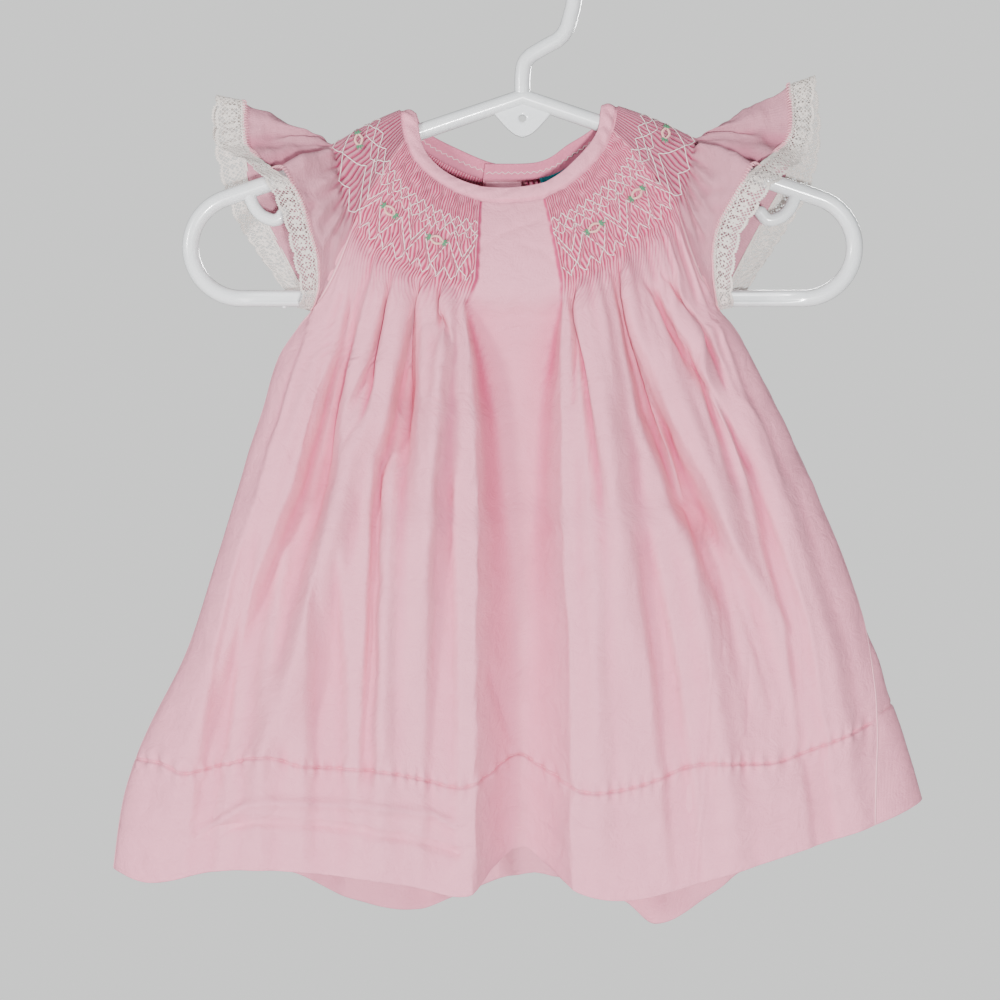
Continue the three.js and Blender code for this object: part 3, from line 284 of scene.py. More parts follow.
# The front: one wide piece of pale pink cotton batiste, gathered into fine pleats on both sides of a plain
# centre, smocked under the neck seam, with a deep inverted pleat below and a hem turned up and stitched.
# Millimetres round the yoke, from centre front (0) to centre back (100): place, neck seam, smocked edge, lip.
YOKE = {
    "left": [
        (0, -18.4, -14, -110, -20, -23, -145.6, -17.5, -12.5, -103.3),
        (12, -28.7, -13.5, -106.3, -37, -22, -143.4, -25.7, -12, -100.7),
        (24, -39.5, -12, -99.4, -51.6, -20, -136.8, -34.3, -10.5, -95.8),
        (34, -47.3, -9.5, -91.3, -64.2, -16.5, -127.9, -40.9, -8.5, -89),
        (42, -50.9, -7, -82.7, -72.1, -13, -118, -44, -6.5, -81.8),
        (47, -52.2, -5, -76.4, -77.6, -10, -106.5, -45.1, -5, -75.6),
        (51, -52.8, -3.4, -71, -80.4, -6.9, -91.8, -45.8, -3, -71.4),
        (55, -52.9, 0, -69, -82, 0, -85, -45.9, 0, -69.9),
        (59, -52.4, 3.8, -70.6, -80.8, 6.4, -91.4, -45.5, 3.2, -71.2),
        (63, -51, 6.4, -75, -78.6, 9.4, -103, -44, 5.4, -75),
        (68, -47.1, 8.5, -80.4, -74, 11, -111.7, -40.5, 7, -77.9),
        (80, -33.5, 11, -89.3, -55.6, 13.5, -125.9, -29.6, 9, -83.3),
        (92, -16.8, 13, -96, -29.7, 15.5, -135, -14.2, 11.4, -89.5),
        (100, -3.2, 13.2, -98, -3.2, 16.2, -136.7, -2.3, 11.6, -91.4),
    ],
    "right": [
        (0, 9.5, -14, -108.7, 16.6, -23, -144.7, 9.5, -12.5, -101.5),
        (12, 19.4, -13.5, -103.5, 32.8, -22, -137.8, 16.9, -12, -96.8),
        (24, 29.3, -12, -95.1, 46.5, -20, -128.2, 24.2, -10.5, -89.7),
        (34, 35.5, -9.5, -87, 57.8, -16.5, -119.3, 29.5, -8.5, -83.4),
        (42, 39, -7, -78.8, 65.8, -13, -110.7, 32.6, -6.5, -77.5),
        (47, 40.4, -5, -73.4, 70.4, -10, -100.4, 33.7, -5, -71.4),
        (51, 41, -3.4, -69.4, 73, -7.1, -88.8, 34.1, -3, -67.4),
        (55, 41.1, 0, -67.3, 74.2, 0, -82.3, 34.2, 0, -66.4),
        (59, 40.8, 3.8, -69, 73.6, 6.4, -88.6, 34, 3.2, -67.8),
        (63, 39.4, 6.4, -73.4, 71.2, 9.4, -98, 32.7, 5.4, -72.9),
        (68, 35.8, 8.5, -79.1, 67.5, 11, -107.3, 29.6, 7, -76.2),
        (80, 25.4, 10.6, -87.5, 51.9, 13, -122.8, 20.1, 8.6, -82),
        (92, 8.5, 10.8, -96, 20, 13.6, -134.2, 6.7, 9, -89.8),
        (100, -17.3, 10, -96.9, -17.3, 12.6, -136.5, -16.4, 8.4, -90.6),
    ],
}
COLUMNS = {"seam": slice(1, 4), "edge": slice(4, 7), "lip": slice(7, 10)}
# The skirt's outline: height, left side, right side.
OUTLINE = [
    (-400, -178.5, 186),
    (-367.5, -173.4, 174),
    (-347.5, -167, 167.5),
    (-334, -161, 163.5),
    (-304, -146, 153),
    (-264, -133, 139.5),
    (-231, -123, 125.7),
    (-217, -119, 119.5),
    (-199, -113, 111),
    (-176, -106, 99),
    (-161, -96, 89.5),
]
FRONT_HEM = [
    (-178.5, -397),
    (-160, -401.5),
    (-130, -395.5),
    (-100, -395),
    (-50, -400.5),
    (-23, -405),
    (-12, -394),
    (-1, -386.5),
    (9, -393.5),
    (24, -404),
    (46, -406.7),
    (80, -398.2),
    (112, -388.5),
    (152, -376),
    (174, -367.5),
]
# The back cloth that shows past the side seams, from underarm to hem: place down the side, left, right.
WRAP = [(0, 0, 0), (0.44, 0, 0), (0.67, 1, 5), (0.8, 3, 16), (1, 7, 36)]
# Main folds: x and z at head, middle and foot, depth there (ridges are negative), half width at head and foot.
FRONT_FOLDS = [
    ((-85, -122, -143), (-170, -255, -350), (1, -4, -2), (6, 16)),
    ((-74, -89, -124), (-160, -232, -340), (5, 9, 2.5), (5, 19)),
    ((-57, -64, -75), (-149, -180, -216), (2, 3.5, 0), (3, 6)),
    ((-66, -84, -104), (-190, -260, -330), (-1, -4, -3), (7, 18)),
    ((-44, -50, -57), (-148, -192, -250), (3, 9, 0), (3.5, 12)),
    ((-33, -40, -46), (-160, -215, -300), (-1, -4, -1), (6, 16)),
    ((-35, -34, -33), (-149, -160, -174), (2, 3, 0), (3, 4)),
    ((21, 23, 25), (-148, -162, -196), (2, 3, 0), (3, 5)),
    ((32, 38, 44), (-155, -215, -300), (-1, -4, -1), (6, 16)),
    ((40, 55, 74), (-145, -200, -245), (3, 9, 5), (4, 11)),
    ((74, 92, 107), (-245, -282, -340), (4, 5, 1), (10, 16)),
    ((63, 84, 98), (-180, -235, -310), (-1, -4, -2), (7, 16)),
    ((57, 74, 94), (-152, -182, -226), (2, 4, 0), (3, 7)),
    ((63, 74, 88), (-146, -163, -194), (2, 3, 0), (3, 5)),
    ((89, 110, 129), (-188, -235, -334), (-1, -4, -2), (6, 16)),
    ((-118, -127, -136), (-262, -305, -385), (2, 3, 1.5), (5, 8)),
    ((-103, -109, -113), (-262, -305, -385), (-1.5, -2.5, -1.2), (5, 9)),
    ((-84, -83, -82), (-270, -320, -385), (2.4, 3, 1.4), (8, 12)),
    ((-62, -64, -66), (-230, -300, -352), (1.8, 2.2, 1), (2.6, 4)),
    ((-56, -59, -60), (-230, -300, -385), (-1.8, -2.4, -1.2), (5, 8)),
    ((-34, -34, -35), (-240, -310, -385), (1.6, 2.2, 1), (6, 9)),
    ((28, 30, 33), (-230, -300, -385), (-1, -1.6, -0.8), (5, 9)),
    ((52, 60, 68), (-262, -310, -385), (1.8, 2.6, 1.2), (6, 9)),
    ((70, 80, 90), (-262, -310, -385), (-1.5, -2.4, -1.2), (6, 10)),
    ((100, 116, 128), (-240, -290, -380), (2, 2.6, 1.2), (5, 8)),
    ((118, 132, 143), (-250, -300, -375), (-1.4, -2.2, -1), (6, 9)),
]
# The inverted pleat down the centre: height, left edge, right edge, depth, flat share of its width.
CENTRE_PLEAT = [
    (-410, -20.4, 20.3, 20, 0.1),
    (-340, -19.8, 19.8, 19, 0),
    (-300, -19.4, 19.5, 20, 0.05),
    (-262, -19.2, 17, 20, 0.15),
    (-240, -19.1, 16.5, 19, 0.3),
    (-204, -20.2, 16.1, 17, 0.45),
    (-175, -22.5, 16.1, 13, 0.7),
    (-156, -25, 17, 5, 0.9),
    (-144, -26, 18, 0, 0.95),
]
# Ironed and hanging creases of the front: half width, depth, then points in x and z.
FRONT_CREASES = [
    (1.3, 0.9, [(-58.5, -153), (-58.9, -161), (-62.7, -175), (-64.8, -191), (-68.6, -203), (-75.8, -214)]),
    (1.2, 1.2, [(-44.5, -150), (-46.2, -158), (-47.9, -168), (-50.4, -183), (-53, -200)]),
    (1.2, 0.8, [(-77.1, -150), (-80.9, -159), (-83.4, -167), (-87, -190), (-93, -214)]),
    (1, 0.9, [(22.4, -151), (22.8, -162), (22.4, -173), (21.5, -196)]),
    (1.2, 1.2, [(40.1, -146), (43.5, -154), (46.1, -162), (49.4, -173), (52.4, -182), (54.5, -189)]),
    (1.6, 0.8, [(55.8, -193), (63.4, -213), (72.7, -236), (79.5, -249), (85.8, -266), (99.4, -302),
                (106, -327)]),
    (1.5, 0.9, [(57.1, -154), (65.9, -171), (76.9, -187), (86.2, -197), (90.9, -215), (97.2, -226)]),
    (1.2, 0.8, [(62.1, -147), (69.3, -156), (79.1, -171), (86.2, -189)]),
    (1.6, -0.6, [(88.8, -190), (98.5, -201), (104.4, -213), (109.5, -229)]),
    (1.1, -0.45, [(98.5, -267), (106.1, -282), (114.6, -298), (121.8, -317), (128.6, -334)]),
    (0.9, 0.35, [(82.9, -272), (84.1, -289), (85, -306)]),
    (0.9, 0.35, [(96.4, -305), (95.6, -321), (94.7, -336)]),
    (1.6, 1, [(-13.6, -312), (-9.8, -325), (-4.7, -341)]),
    (1.8, -1.9, [(-139.7, -382), (-128, -374.5), (-117, -367.4), (-109, -366), (-87, -367), (-69, -367.4),
                 (-38.6, -370.7), (-28.8, -376)]),
    (1.6, 1.7, [(-139, -381), (-124, -376.7), (-113, -374), (-96.5, -375), (-69, -377.5), (-45, -381.7),
                (-28, -387)]),
    (1.4, 0.4, [(-18, -131), (-8, -124), (6, -119)]),
    (1.2, 0.35, [(16, -139), (8, -132), (0, -129)]),
]
# The line where the hem is stitched: x and z.
HEM_STITCH = [
    (-172, -350),
    (-156.4, -350.8),
    (-144.6, -354.6),
    (-127.8, -350.8),
    (-110.1, -347),
    (-93.8, -351),
    (-59.9, -352.9),
    (-43.9, -355.9),
    (-27.9, -359.7),
    (-18, -357),
    (-2.1, -347.2),
    (6.9, -352),
    (24, -361.2),
    (39.9, -360.9),
    (55.9, -356.7),
    (73.3, -350.1),
    (105.8, -349.7),
    (119.1, -345.9),
    (145.7, -335.2),
    (160, -329.1),
    (172, -325),
]
# The underarm: its share of the skirt's height, its place, and the point that bends the raglan seam above it.
UNDERARM = {"t": 0.15, "z": -161, "left": -96, "right": 89.5, "bend_z": -151, "bend_y": 18.5, "bend_x": 0.45}
# Where the raglan seams meet the yoke, and which way round the cloth of a side is.
RAGLAN = {"front": 42, "back": 66}
FLIP = {"left": -1, "right": 1}
# How square the skirt is seen from above, how deep the front is under the arm and at the hem, how strong its
# folds are, and how fast it fans out on each side.
ROUNDING = 2.6
FRONT_DEPTH = (24, 33)
FRONT_FOLD_SCALE = 2.0
FAN = {"left": 0.345, "right": 0.4}
# The pleats of one side of the front, and the shares of the cloth and of the smocked edge that they fill.
FRONT_PLEATS = 46
PLEATED_SHARE = 0.458
PLEATED_TOP = 0.38
# How high the pleats stand at the neck and at the band's lower edge, how deep the painted shade between them
# is, and the shares of the skirt's height in which their sway, height and painted shade die away below the
# band.
FRONT_CREST = (1, 1.85)
FRONT_SHADE = 1.6
FRONT_REACH = {"sway": 0.012, "crest": 0.013, "shade": 0.02}
# Where soft gathers start, as ranges of the skirt's width.
FRONT_GATHERS = ((0.03, 0.42), (0.58, 0.97))
# How far the smocked band swells, how far from the shoulder it starts to, and its gap to the neck seam.
BAND = {"swell": 2, "flank": 12, "gap": 0.2}
# Rows down the skirt, closest where the hem is stitched: from, to and how many.
SKIRT_ROWS = [
    (0.004, 0.1, 22),
    (0.11, 0.78, 58),
    (0.788, 0.82, 8),
    (0.82, 0.842, 18),
    (0.842, 0.9, 12),
    (0.9, 1, 20),
]
BAND_ROWS = 54
# Columns of the cloth across one pleat, threads of the weave in a metre, and the height below which a crease
# starts in the skirt.
PLEAT_STEPS = np.array([0, 0.14, 0.38, 0.62, 0.86])
THREADS = 4200
SMOCKING_FOOT = -140
# The hem: where down the skirt it is stitched, the skirt's length, and the rows of the part that is turned up
# inside, each with its distance from the cloth outside and its height above the edge.
HEM_T = 0.83
SKIRT_LENGTH = 265
HEM_TURN = ((0.15, -0.25), (0.55, -0.3), (0.95, 0.1), (1.1, 1.5), (1.1, 6), (1.1, 20), (1.0, 42))


def mix(a, b, share):
    return a + (b - a) * share


def ease(value):
    held = np.clip(value, 0, 1)
    return held * held * (3 - 2 * held)


def along(rows, place, columns):
    rows = np.asarray(sorted(rows), float)
    key = rows[:, 0]
    place = np.clip(np.asarray(place, float), key[0], key[-1])
    high = np.clip(np.searchsorted(key, place), 1, len(key) - 1)
    low = high - 1
    before, after = np.maximum(low - 1, 0), np.minimum(high + 1, len(key) - 1)
    span = key[high] - key[low]
    s = ((place - key[low]) / span)[..., None]
    value = rows[:, columns]
    a, b = value[low], value[high]
    slope_a = (b - value[before]) * (span / (key[high] - key[before]))[..., None]
    slope_b = (value[after] - a) * (span / (key[after] - key[low]))[..., None]
    even = (2 * s**3 - 3 * s**2 + 1) * a + (3 * s**2 - 2 * s**3) * b
    return even + (s**3 - 2 * s**2 + s) * slope_a + (s**3 - s**2) * slope_b


def column(rows, place, number):
    return along(rows, place, slice(number, number + 1))[..., 0]


def yoke(side, place, name):
    return along(YOKE[side], place, COLUMNS[name])


def front_yoke(share, name):
    share = np.asarray(share, float)
    left = yoke("left", RAGLAN["front"] * (1 - share / PLEATED_TOP), name)
    right = yoke("right", RAGLAN["front"] * (share - 1 + PLEATED_TOP) / PLEATED_TOP, name)
    across = np.clip((share - PLEATED_TOP) / (1 - 2 * PLEATED_TOP), 0, 1)
    middle = mix(yoke("left", 0 * share, name), yoke("right", 0 * share, name), across[..., None])
    middle[..., 2] -= (1 if name == "edge" else 1.2) * 4 * across * (1 - across)
    plain = ((share >= PLEATED_TOP) & (share <= 1 - PLEATED_TOP))[..., None]
    return np.where(plain, middle, np.where((share < 0.5)[..., None], left, right))


def gathered(u):
    plain = 1 - PLEATED_SHARE
    middle = mix(PLEATED_TOP, 1 - PLEATED_TOP, (u - PLEATED_SHARE) / (plain - PLEATED_SHARE))
    sides = np.where(u < 0.5, PLEATED_TOP * u / PLEATED_SHARE, 1 - PLEATED_TOP * (1 - u) / PLEATED_SHARE)
    return np.where((u < PLEATED_SHARE) | (u > plain), sides, middle)


def fold_depth(folds, x, z):
    depth = np.zeros_like(x)
    for fold_x, (head, middle, foot), depths, width in folds:
        upper = z > middle
        part = np.where(upper, (z - middle) / (head - middle), (z - middle) / (foot - middle))
        lean, change = (np.where(upper, ends[0] - ends[1], ends[2] - ends[1]) for ends in (fold_x, depths))
        line = fold_x[1] + part * lean
        size = (depths[1] + np.clip(part, 0, 1) * change) * (1 - ease((part - 1) * 3))
        breadth = mix(width[0], width[1], np.clip((z - head) / (foot - head), 0, 1))
        away = np.abs(x - line) / breadth
        bed = np.where(size > 0, ease((1 - away) * 1.7), 0.5 + 0.5 * np.cos(math.pi * np.minimum(away, 1)))
        depth += np.where((away < 1) & (part < 2), size * bed, 0)
    return depth


def pleat_climb(x, z):
    left, right = column(CENTRE_PLEAT, z, 1), column(CENTRE_PLEAT, z, 2)
    across = (x - left) / (right - left)
    ramp = (1 - column(CENTRE_PLEAT, z, 4)) / 2
    return np.clip(np.minimum(across, 1 - across) / ramp, 0, 1)


def centre_pleat_depth(x, z):
    return column(CENTRE_PLEAT, z, 3) * np.sin(pleat_climb(x, z) * math.pi / 2) ** 0.8


def plan(across):
    angle = math.pi * across
    line = np.abs(np.cos(angle)) ** (2 / ROUNDING) * np.sign(np.cos(angle))
    return (1 - line) / 2, np.clip(np.sin(angle), 0, 1) ** (2 / ROUNDING)


def raglan_points(side, top, share):
    """The raglan seam from the smocked edge to the underarm."""
    bend_x = mix(top[0], UNDERARM[side], UNDERARM["bend_x"])
    bend = np.array([bend_x, np.sign(top[1]) * UNDERARM["bend_y"], UNDERARM["bend_z"]])
    foot = np.array([UNDERARM[side], 0, UNDERARM["z"]])
    s = share[:, None]
    return (1 - s) ** 2 * top + 2 * s * (1 - s) * bend + s**2 * foot


def side_points(side, top, t):
    number = 1 if side == "left" else 2
    hem = FRONT_HEM[0][1] if side == "left" else FRONT_HEM[-1][1]
    z = mix(UNDERARM["z"], hem, (t - UNDERARM["t"]) / (1 - UNDERARM["t"]))
    down = np.stack([column(OUTLINE, z, number), 0 * z, z], -1)
    raglan = raglan_points(side, top, np.clip(t / UNDERARM["t"], 0, 1))
    return np.where((t >= UNDERARM["t"])[:, None], down, raglan)


def side_shift(points, top, t, settle):
    hem = np.where(points[:, 0] < 0, FRONT_HEM[0][1], FRONT_HEM[-1][1])
    return points[:, 1] - mix(top[1], 0, settle), points[:, 2] - mix(top[2], hem, t)


def front_sections(t, samples=420):
    across = np.linspace(0, 1, samples)
    top = front_yoke(across, "edge")
    start, finish = side_points("left", top[0], t), side_points("right", top[-1], t)
    settle = np.minimum(1, t / UNDERARM["t"])
    left_y, left_z = side_shift(start, top[0], t, settle)
    right_y, right_z = side_shift(finish, top[-1], t, settle)
    line, deep = plan(across)
    place = mix((top[:, 0] - top[0, 0]) / (top[-1, 0] - top[0, 0]), line, settle[:, None])
    x = mix(start[:, :1], finish[:, :1], place)
    hem = column(FRONT_HEM, mix(FRONT_HEM[0][0], FRONT_HEM[-1][0], line), 1)
    near = (1 - deep) ** 2
    down = t[:, None]
    z = mix(top[:, 2], hem, down) + mix(left_z[:, None], right_z[:, None], place) * near
    depth = mix(*FRONT_DEPTH, ease(down))
    y = mix(top[:, 1], -depth * deep, settle[:, None]) + mix(left_y[:, None], right_y[:, None], place) * near
    fold = (FRONT_FOLD_SCALE * fold_depth(FRONT_FOLDS, x, z) + centre_pleat_depth(x, z)) * deep
    return np.stack([x, y + fold * ease(down / 0.06), z], -1)


def lengths(points):
    steps = np.linalg.norm(np.diff(points, axis=-2), axis=-1)
    return np.concatenate([np.zeros((*steps.shape[:-1], 1)), np.cumsum(steps, -1)], -1)


def point_at(at, run, line):
    """Points of a line at distances along it, where run is the distance of each of its own points."""
    return np.stack([np.interp(at, run, line[:, axis]) for axis in range(3)], -1)


def cut_rows(points, shares, start, end):
    """Points of each row at shares of its length, less what is left off at its start and end."""
    measured = lengths(points)
    rows = []
    for i, row in enumerate(points):
        at = mix(start[i], measured[i, -1] - end[i], shares[i])
        rows.append(point_at(at, measured[i], row))
    return np.array(rows)


def wrap(t, side):
    amount = np.interp(t, [row[0] for row in WRAP], [row[1 if side == "left" else 2] for row in WRAP])
    return np.where(t < UNDERARM["t"], 0, amount)


def front_skirt(t, u):
    shares = mix(gathered(u)[None, :], u[None, :], ease(t / 0.3)[:, None])
    return cut_rows(front_sections(t), shares, wrap(t, "left"), wrap(t, "right"))


def swelled(points, edge, w):
    """Lets the smocked band stand out between its two edges."""
    swell = 4 * BAND["swell"] * w * (1 - w)
    points[..., 1] += np.sign(edge[:, 1]) * swell * np.minimum(1, np.abs(edge[:, 1]) / BAND["flank"])
    points[..., 2] += swell * 0.5
    return points


def smocked_band(seam, edge, w):
    """Rows of the smocked band, from just under the neck seam to its lower edge."""
    reach = np.linalg.norm(edge - seam, axis=-1)[None, :, None]
    points = mix(seam, edge, mix(BAND["gap"] / reach, 1, w[:, None, None]))
    return swelled(points, edge, w[:, None])


def join_band(band, skirt):
    """The smocked band and the skirt as one cloth, smoothed where they meet."""
    points = np.concatenate([band, skirt])
    first, last = len(band) - 5, len(band) + 6
    for _ in range(6):
        above, below = points[first - 1 : last - 1], points[first + 1 : last + 1]
        points[first:last] = (above + 2 * points[first:last] + below) / 4
    return points


def by_row(band, skirt):
    """One value for each row of a cloth: those of its smocked band, then those of its skirt."""
    return np.concatenate([band, skirt])[:, None]


def unit(vectors):
    return vectors / np.maximum(np.linalg.norm(vectors, axis=-1, keepdims=True), 1e-9)


def outward(points, flip=1):
    across = np.gradient(points, axis=1)
    down = np.gradient(points, axis=0)
    return unit(np.cross(down, across) * flip)


def spread(values, span):
    """Values smoothed along each row of a cloth."""
    padded = np.pad(values, ((0, 0), (span // 2, span // 2), (0, 0)), mode="edge")
    total = np.cumsum(np.concatenate([np.zeros((len(values), 1, 3)), padded], 1), 1)
    return (total[:, span:] - total[:, :-span]) / span


def cavity(points, out, span=31):
    """How far a point lies in a hollow of its row, from 0 to 1."""
    return np.clip(np.sum((spread(points, span) - points) * out, -1) / 2.2, 0, 1)


def from_line(x, z, line):
    nearest = np.full(x.shape, 1e9)
    for (ax, az), (bx, bz) in zip(line, line[1:]):
        step_x, step_z = bx - ax, bz - az
        share = np.clip(((x - ax) * step_x + (z - az) * step_z) / (step_x**2 + step_z**2), 0, 1)
        nearest = np.minimum(nearest, np.hypot(x - ax - share * step_x, z - az - share * step_z))
    return nearest


def rumple(x, z, seed, scale):
    """Uneven waves in all directions, about as long as the scale."""
    dice = np.random.RandomState(seed)
    total = np.zeros_like(x)
    for _ in range(14):
        turn, phase = dice.uniform(0, math.pi), dice.uniform(0, 2 * math.pi)
        pitch = scale * dice.uniform(0.6, 1.7)
        total += np.sin((x * math.cos(turn) + z * math.sin(turn)) * 2 * math.pi / pitch + phase)
    return total / 4


def soft_gathers(x, z, below, seed, ranges, tent):
    """Gathers that fan out straight from the smocking, each of its own length."""
    below_arm = z - UNDERARM["z"]
    fan_left = UNDERARM["left"] + FAN["left"] * below_arm
    fan_right = UNDERARM["right"] - FAN["right"] * below_arm
    fanned = (x - fan_left) / (fan_right - fan_left)
    dice = np.random.RandomState(seed)
    soft = np.zeros_like(x)
    for place, end in ranges:
        while place < end:
            width, reach = dice.uniform(0.007, 0.017), dice.uniform(0.2, 0.75)
            size, lean = dice.uniform(0.9, 2.5), dice.uniform(-0.03, 0.03)
            away = (fanned - place - lean * below) / width
            fade = 1 - ease((below - reach * 0.3) / (reach * 0.7))
            soft += size * np.exp(-(away**2)) * ease(below / tent) * fade
            place += width * dice.uniform(1.6, 2.3)
    return soft


def creases(lines, x, z, reach):
    """How far ironed creases press the cloth in. A crease that starts by the smocking fades in below it."""
    pressed = 0
    for half, depth, line in lines:
        fade = reach if line[0][1] < SMOCKING_FOOT else 1
        pressed = pressed - 1.5 * depth * np.exp(-((from_line(x, z, line) / half) ** 1.5)) * fade
    return pressed


def pleat_crest(passed):
    """The height of a pleat's cloth, from 0 in the valley to 1 on the crest."""
    return np.abs(np.sin(math.pi * passed)) ** 0.6


# Heights of the smocking's trellis at a pleat, counted from the centre front: a share of the band's height.
def valley(count, centre, half, top, bottom):
    return bottom - (bottom - top) * np.minimum(1, np.abs(count - centre) / half)


def trellis(count, period=10, top=0.6, bottom=0.89):
    return valley(np.mod(count - 0.5, period), period / 2, period / 2, top, bottom)


def pleat_sway(count, w, side):
    from_stitch = (w - trellis(count)) / 0.15
    zigzag = np.abs(np.mod(from_stitch, 2) - 1) * 2 - 1
    return side * 0.62 * zigzag * ease((w - 0.26) / 0.2)


def cloth_mesh(name, points, uv, flip=1, keep=None, painted_shade_amount=None):
    """A grid of cloth through points in millimetres, with its flat places and how much painted shade each point
    takes.
    """
    rows, count = points.shape[:2]
    bm = bmesh.new()
    bmesh.ops.create_grid(bm, x_segments=count - 1, y_segments=rows - 1, size=1)
    if keep is not None:
        gone = []
        for face in bm.faces:
            centre = face.calc_center_median()
            i, j = int((centre.x + 1) / 2 * (count - 1)), int((1 - centre.y) / 2 * (rows - 1))
            if not keep[j, i]:
                gone.append(face)
        bmesh.ops.delete(bm, geom=gone, context="FACES")
    mesh = bpy.data.meshes.new(name)
    bm.to_mesh(mesh)
    bm.free()
    flat = np.empty(len(mesh.vertices) * 3)
    mesh.vertices.foreach_get("co", flat)
    flat = flat.reshape(-1, 3)
    i = np.rint((flat[:, 0] + 1) / 2 * (count - 1)).astype(int)
    j = np.rint((1 - flat[:, 1]) / 2 * (rows - 1)).astype(int)
    mesh.vertices.foreach_set("co", (points[j, i] * 0.001).ravel())
    cloth_uv = mesh.uv_layers.new(name="cloth")
    corner = np.empty(len(mesh.loops), int)
    mesh.loops.foreach_get("vertex_index", corner)
    cloth_uv.data.foreach_set("uv", (uv[j, i][corner] * 0.001).ravel())
    # Painted shade: the amount goes to the valley attribute that deepens the cloth's colour.
    if painted_shade_amount is not None:
        mesh.attributes.new("valley", "FLOAT", "POINT").data.foreach_set("value", painted_shade_amount[j, i].ravel())
    if flip < 0:
        mesh.flip_normals()
    mesh.polygons.foreach_set("use_smooth", np.ones(len(mesh.polygons), bool))
    mesh.update()
    return mesh


def turned_up(points, out):
    """A cloth with the rows of its hem that are turned up inside."""
    rows = []
    for inward, up in HEM_TURN:
        at = 1 - up / SKIRT_LENGTH
        inside = np.stack([point_at(at, skirt_t, points[BAND_ROWS:, k]) for k in range(points.shape[1])])
        inside[:, 2] += min(0, up)
        rows.append(inside - out[-1] * inward)
    return np.concatenate([points, np.array(rows)])


def laid_flat(points, row, column_number):
    """Flat places of a cloth's points: distances along one of its rows and down one of its columns."""
    across = np.repeat(lengths(points[row : row + 1]), len(points), 0)
    down = lengths(points[:, column_number])
    return np.stack([across, np.repeat(down[:, None], points.shape[1], 1)], -1)


def pleat_places(pleats):
    """Where the cloth's columns stand, counted in pleats."""
    return np.concatenate([PLEAT_STEPS + i for i in range(pleats)])


def cotton(name, color, deep, weave=1.0):
    """Plain woven cotton, with its threads, slubs and crumples, and painted shade: deeper in colour where a
    cloth's valley attribute marks hollows.
    """
    material, tree, shader = new_material(
        name, {"Roughness": 0.88, "Sheen Weight": 0.08, "Sheen Roughness": 0.5, "Specular IOR Level": 0.25}
    )
    uv = add(tree, "UVMap", "UV", {}, uv_map="cloth")
    heights = []
    for turn, slub_scale in ((0, (2600, 160, 1)), (math.pi / 2, (160, 2600, 1))):
        spun = add(tree, "Mapping", "Vector", {"Vector": uv, "Rotation": (0, 0, turn)})
        wave = {"Vector": spun, "Scale": THREADS / 6.2832, "Distortion": 1.2, "Detail": 2, "Detail Scale": 3}
        thread = add(tree, "TexWave", "Fac", wave, wave_type="BANDS", bands_direction="X")
        slub = add(tree, "Mapping", "Vector", {"Vector": uv, "Scale": slub_scale})
        uneven = add(tree, "TexNoise", "Fac", {"Vector": slub, "Scale": 1, "Detail": 3})
        heights.append(add(tree, "Math", "Value", {0: thread, 1: 0.5, 2: uneven}, operation="MULTIPLY_ADD"))
    woven = add(tree, "Math", "Value", {0: heights[0], 1: heights[1]}, operation="ADD")
    bump = add(tree, "Bump", "Normal", {"Height": woven, "Distance": 0.0002 * weave, "Strength": 0.6})
    noise = {"Vector": uv, "Scale": 130, "Detail": 5, "Roughness": 0.6, "Distortion": 0.6}
    crumple = add(tree, "TexNoise", "Fac", noise)
    bumps = {"Height": crumple, "Normal": bump, "Distance": 0.003, "Strength": 0.4}
    creased = add(tree, "Bump", "Normal", bumps)
    # Painted shade: the valley attribute pulls the colour towards the deep one in hollows and between pleats.
    painted_shade = add(tree, "Attribute", "Fac", {}, attribute_name="valley")
    shade = add(tree, "Math", "Value", {0: woven, 1: 0.12, 2: -0.06}, operation="MULTIPLY_ADD")
    weave_and_painted_shade = add(tree, "Math", "Value", {0: shade, 1: 0.22, 2: painted_shade}, operation="MULTIPLY_ADD")
    colors = {"Factor": weave_and_painted_shade, "A": (*color, 1), "B": (*deep, 1)}
    tint = add(tree, "Mix", "Result", colors, data_type="RGBA", clamp_factor=True)
    fill(tree, shader, {"Normal": creased, "Base Color": tint})
    return material


pink_batiste = cotton("pink_batiste", (0.9, 0.36, 0.475), (0.6, 0.075, 0.19))

plain = 1 - PLEATED_SHARE
passed = pleat_places(FRONT_PLEATS)
passed_back = np.append(passed, FRONT_PLEATS)
centre_steps = np.linspace(PLEATED_SHARE, plain, 23)[:-1]
left_u = passed * PLEATED_SHARE / FRONT_PLEATS
front_u = np.concatenate([left_u, centre_steps, plain + passed_back * PLEATED_SHARE / FRONT_PLEATS])
pleat_count = np.concatenate([FRONT_PLEATS - passed, 0 * centre_steps, passed_back])
smocked = (front_u <= PLEATED_SHARE) | (front_u >= plain)
band_w = np.linspace(0, 1, BAND_ROWS)
skirt_t = np.unique(np.concatenate([np.linspace(*rows) for rows in SKIRT_ROWS]))
